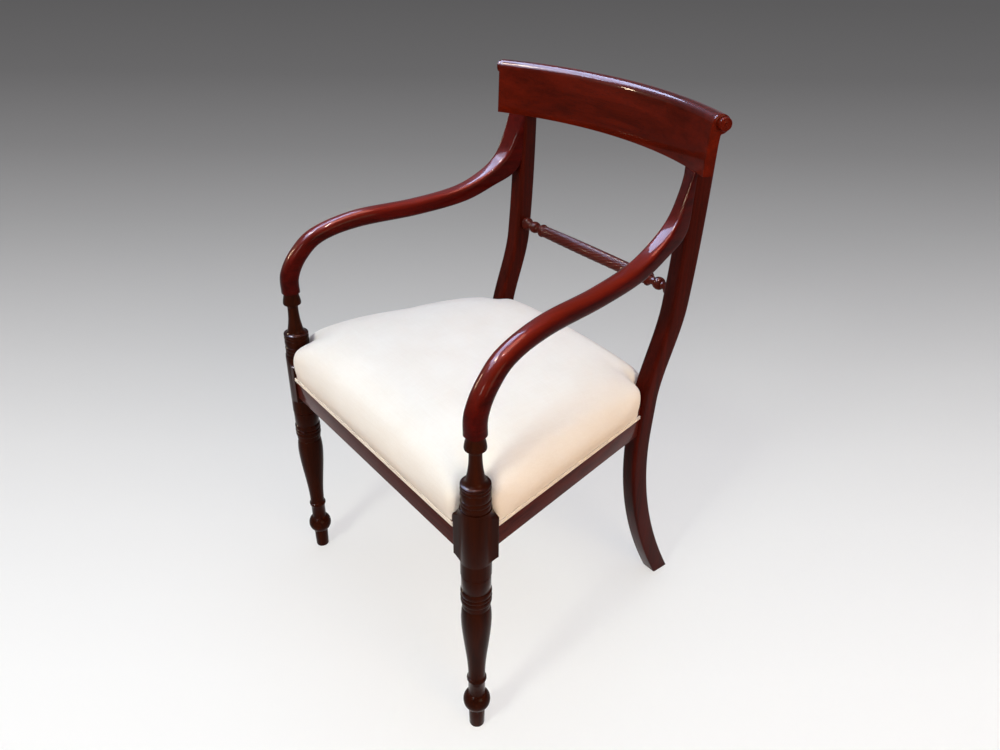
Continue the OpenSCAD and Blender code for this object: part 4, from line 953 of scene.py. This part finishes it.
def smooth_out(obj, times):
    """Eases small folds away, as a taut cover does, and leaves the tacked edge alone."""
    bm = bmesh.new()
    bm.from_mesh(obj.data)
    free = [v for v in bm.verts if v.co.z > (SKIRT_Z + 4) / 1000]
    for _ in range(times):
        bmesh.ops.smooth_vert(bm, verts=free, factor=0.5, use_axis_x=True, use_axis_y=True,
                              use_axis_z=True)
    bm.to_mesh(obj.data)
    bm.free()


def trim_skirt(obj):
    """Cuts the pad level above the piping and gives it a hem and a hollow that clears the rails."""
    bm = bmesh.new()
    bm.from_mesh(obj.data)
    cut_away(bm, (0, 0, SKIRT_Z / 1000), (0, 0, 1), 1e-5)
    centre = TO_MODEL @ Vector((0, middle.y, 0))
    for height in (SKIRT_Z, HOLLOW_Z):
        rim = [e for e in bm.edges if e.is_boundary]
        for edge in rim:
            edge.smooth = False
        new = bmesh.ops.extrude_edge_only(bm, edges=rim)["geom"]
        for vert in (v for v in new if isinstance(v, bmesh.types.BMVert)):
            vert.co = centre.lerp(vert.co, 0.996)
            vert.co.z = height / 1000
    fill_holes(bm)
    bmesh.ops.triangulate(bm, faces=[face for face in bm.faces if len(face.verts) > 4])
    bmesh.ops.recalc_face_normals(bm, faces=bm.faces)
    for face in bm.faces:
        face.smooth = True
    bm.to_mesh(obj.data)
    bm.free()


remesh(cushion, 0.005)
puff(cushion, held=lambda co: co.z < (SKIRT_Z + 3) / 1000)
smooth_out(cushion, 16)
finer = cushion.modifiers.new("finer", "SUBSURF")
finer.levels = finer.render_levels = 1
apply_modifiers(cushion)
trim_skirt(cushion)
paint(cushion, cover_cloth)

# %% [markdown]
# A double piping hides the cover's lower edge: two cords, each in a sleeve of the same cotton, one
# above the other. Each cord is a ring extruded along the rail, with a tiny wander so that it looks
# sewn.

# %% Double piping
PIPING_R, PIPING_Z, CORD_SIDES = 1.7, RAIL_Z + 35, 14


def cord_run(bm, start, end, outwards, height):
    """One cord from start to end, lying against the rail at the given height."""
    length = (end - start).length
    ahead_run = (end - start) / length
    count = max(8, int(length / 4))
    sections = []
    for k in range(count + 1):
        at = start + ahead_run * (length * k / count)
        wander = 0.16 * noise.noise(Vector((at.x * 0.05, at.y * 0.05, height * 3.1)))
        thick = PIPING_R * (1 + 0.03 * noise.noise(Vector((at.x * 0.23, at.y * 0.23, height))))
        centre = Vector((at.x, at.y, 0)) + outwards * (PIPING_R - 0.1)
        points = []
        for i in range(CORD_SIDES):
            a = 2 * math.pi * i / CORD_SIDES
            side_step = outwards * (thick * math.cos(a))
            lift = Vector((0, 0, height + wander + thick * math.sin(a)))
            points.append(centre + side_step + lift)
        sections.append(points)
    grow(bm, sections)


bm = bmesh.new()
front_half, back_half = inner - 0.6, upright_inner(RAIL_TOP) - 0.8
y0, y1 = SIDE_FRONT + 0.8, SIDE_BACK - 1.5
for row in (0, 1):
    z = PIPING_Z + PIPING_R + row * (2 * PIPING_R - 0.3)
    for half, y, way in ((front_half, FRONT_FACE, -1), (back_half, BACK_RAIL_Y + RAIL_T, 1)):
        cord_run(bm, Vector((-half, y, 0)), Vector((half, y, 0)), Vector((0, way, 0)), z)
    for s in (1, -1):
        cord_run(bm, Vector((s * side_x(y0), y0, 0)), Vector((s * side_x(y1), y1, 0)),
                 Vector((s * math.cos(side_angle), math.sin(side_angle), 0)), z)
finish_piece("seat_piping_double", bm, piping_cloth, ["seat_piping"], crease=60)

# %% [markdown]
# Below, jute webbing is strained across the frame, four straps each way in two layers, and a
# hessian sheet lies on it to carry the stuffing. A strap is a flat grid with a wavy selvedge,
# given its thickness by solidify.

# %% Webbing straps
STRAP_W, STRAP_T, STRAPS = 50, 1.2, 4
ALONG_Z, ACROSS_Z = RAIL_TOP + GLUE, RAIL_TOP + GLUE + STRAP_T + GLUE
strap_span = upright_inner(RAIL_Z) - STRAP_W / 2 - 6
first_strap, last_strap = FRONT_FACE + RAIL_T + STRAP_W + 2, BACK_RAIL_Y - STRAP_W + 6


def strap(bm, start, end, z):
    """A strap from start to end in plan, its lower face at height z."""
    ahead_run = (end - start).normalized()
    across = Vector((-ahead_run.y, ahead_run.x, 0))
    grid = bmesh.ops.create_grid(bm, x_segments=60, y_segments=8, size=0.5)["verts"]
    for vert in grid:
        t, w = vert.co.x + 0.5, vert.co.y
        edge = 0.5 * noise.noise(Vector((t * 30, w, z)))
        at = start + (end - start) * t + across * (w * (STRAP_W - 0.8) + edge * abs(w))
        vert.co = (at.x, at.y, z)
    faces = list({f for v in grid for f in v.link_faces})
    bmesh.ops.recalc_face_normals(bm, faces=faces)
    if faces[0].normal.z < 0:
        bmesh.ops.reverse_faces(bm, faces=faces)
    bmesh.ops.solidify(bm, geom=faces, thickness=-STRAP_T + 0.1)


bm = bmesh.new()
for i in range(STRAPS):
    x = mix(-strap_span, strap_span, i / (STRAPS - 1))
    strap(bm, Vector((x, FRONT_FACE + 4, 0)), Vector((x, BACK_RAIL_Y + RAIL_T - 4, 0)),
          ALONG_Z + GLUE)
finish_piece("webbing_front_to_back_straps", bm, strap_cloth,
             ["webbing_front_to_back"])
bm = bmesh.new()
for i in range(STRAPS):
    y = mix(first_strap, last_strap, i / (STRAPS - 1))
    x = side_x(y) - 6
    strap(bm, Vector((-x, y, 0)), Vector((x, y, 0)), ACROSS_Z + GLUE)
finish_piece("webbing_side_to_side_straps", bm, strap_cloth,
             ["webbing_side_to_side"])

# %% Hessian sheet
bm = bmesh.new()
sheet_z = ACROSS_Z + STRAP_T + 0.9 + 0.2
points = [(p.x * 0.988, middle.y + (p.y - middle.y) * 0.986, sheet_z) for p in outline]
first_ring(bm, points)
bmesh.ops.contextual_create(bm, geom=bm.edges[:])
area = sum(face.calc_area() for face in bm.faces) / 1e6
bmesh.ops.solidify(bm, geom=bm.faces[:], thickness=-0.7)
hessian = finish_piece("hessian_sheet", bm, hessian_cloth, ["hessian"])

# %% [markdown]
# The small solids keep their own shape: corner blocks, screws, plugs and tacks. Each only gets a
# finish.

# %% Finishes of the kept solids
FINISH = {"corner_block_front_left": beech, "corner_block_front_right": beech,
          "corner_block_back_left": beech, "corner_block_back_right": beech,
          "corner_block_screws": screw_steel, "arm_screws": screw_steel,
          "crest_screws": screw_steel, "webbing_tacks": tack_steel, "screw_plugs": plug_wood}
for node, material in FINISH.items():
    paint(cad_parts[node], material)
print("kept solids", sorted(FINISH))

# %% [markdown]
# The floor is a plain pale sheet that darkens with distance, as a graduated studio backdrop does.
# Looking down at it, the camera sees nothing else behind the chair. A formula leads its grey from
# FAR_GREY in the picture's top row towards NEAR_GREY at the bottom, and each place on the sheet
# takes the grey of the row in which the camera sees it. More than half of what the camera sees there is the sheet's own glow, which keeps the shadows
# pale, and light that the sheet throws back on the chair is brownish.

# %% Floor
FLOOR_HALF, GLOW = 30, 0.6
FAR_GREY, NEAR_GREY, SPREAD, POWER, GREY_STEPS = 102, 252, 0.42, 1.74, 10


def sheet_grey(down):
    """The sheet's grey at a place down the picture, where 0 is its top row and 1 its last."""
    grey = NEAR_GREY - (NEAR_GREY - FAR_GREY) * math.exp(-(down / SPREAD) ** POWER)
    return colour(f"{round(grey):02x}" * 3)


bm = bmesh.new()
bmesh.ops.create_grid(bm, x_segments=8, y_segments=8, size=FLOOR_HALF)
floor = as_object(bm, "floor")
sheet, tree, shader, place = new_material("graduated sheet", Roughness=1.0,
                                          Specular_IOR_Level=0.0)
at = add(tree, "SeparateXYZ", i0=place)
away = Vector((-back.x, -back.y)).normalized()
depth = calc(tree, "ADD", calc(tree, "MULTIPLY", at.outputs[0], away.x),
             calc(tree, "MULTIPLY", at.outputs[1], away.y))
depth = calc(tree, "SUBTRACT", depth, EYE.x * away.x + EYE.y * away.y)
low_view = calc(tree, "ARCTAN2", EYE.z, calc(tree, "MAXIMUM", depth, 0.05))
below = calc(tree, "TANGENT", calc(tree, "SUBTRACT", low_view, ELEVATION))
row = calc(tree, "ADD", HEIGHT / 2, calc(tree, "MULTIPLY", FOCAL, below))
ramp = steps(tree, calc(tree, "DIVIDE", row, HEIGHT, clamp=True),
             *[(k / GREY_STEPS, sheet_grey(k / GREY_STEPS)) for k in range(GREY_STEPS + 1)])
ray = add(tree, "LightPath")
seen = calc(tree, "MAXIMUM", ray.outputs["Is Camera Ray"],
            calc(tree, "MAXIMUM", ray.outputs["Is Glossy Ray"], ray.outputs["Is Transmission Ray"]))
pale = blend_colour(tree, 1.0, ramp, (1.0, 0.965, 0.895, 1), "MULTIPLY")
wire(tree, shader, Base_Color=blend_colour(tree, seen, colour("a07c60"), pale))
glow = add(tree, "Emission", i0=ramp, Strength=1.0)
both = add(tree, "MixShader", i0=calc(tree, "MULTIPLY", seen, GLOW), i1=shader.outputs[0],
           i2=glow.outputs[0])
wire(tree, tree.nodes["Material Output"], Surface=both.outputs[0])
paint(floor, sheet)

# %% [markdown]
# Soft light from all round carries most of the picture. Three lamps light the chair: a wide cool
# one overhead, a key in front and a warm fill from the sitter's left. Six more show only as
# reflections in the polish. They stand for windows, walls and a ceiling of the room, and draw the
# pale bands on the crest rail's roll, the arms and the turned rings.

# %% Light
world = bpy.data.worlds.new("room")
bpy.context.scene.world = world
world.use_nodes = True
sky = world.node_tree.nodes["Background"]
sky.inputs["Color"].default_value = (0.91, 0.865, 1.0, 1)
sky.inputs["Strength"].default_value = 0.56


def lamp(name, at, size, power, tint, aim=(0, 0, 0.5), shine=False):
    """A flat lamp; one with shine shows only as a reflection."""
    data = bpy.data.lights.new(name, "AREA")
    data.shape, data.size, data.size_y = "RECTANGLE", size[0], size[1]
    data.energy, data.color = power, tint
    obj = in_scene(name, data)
    obj.location = at
    obj.rotation_euler = (Vector(at) - Vector(aim)).to_track_quat("Z", "Y").to_euler()
    obj.visible_diffuse = not shine


lamp("overhead", (0, 0.4, 3.4), (2.4, 2.4), 28, (0.38, 0.66, 1.0))
lamp("key", (0.7, -2.6, 2.3), (0.6, 0.6), 54, (0.92, 1.0, 0.96))
lamp("side fill", (3.4, -0.2, 1.5), (1.6, 1.2), 60, (1.0, 0.79, 0.52))
lamp("roll shine", (-1.6, -0.3, 2.75), (2.0, 0.9), 600, (0.56, 0.66, 1.0), shine=True)
lamp("window shine", (-0.95, -1.15, 2.5), (1.2, 0.9), 300, (0.66, 0.70, 1.0), shine=True)
lamp("warm ceiling", (-0.1, 0.0, 3.3), (1.3, 1.3), 420, (1.0, 0.4, 0.28), shine=True)
lamp("left shine", (-2.2, -1.7, 1.5), (0.2, 0.5), 110, (1.0, 0.8, 0.56), shine=True)
lamp("high shine", (-1.1, -1.2, 3.2), (0.45, 0.45), 320, (1.0, 0.8, 0.56), shine=True)
lamp("ring shine", (0.15, -0.5, 3.2), (0.22, 0.22), 260, (1.0, 0.86, 0.9), shine=True)

bpy.context.scene.view_settings.view_transform = "Standard"
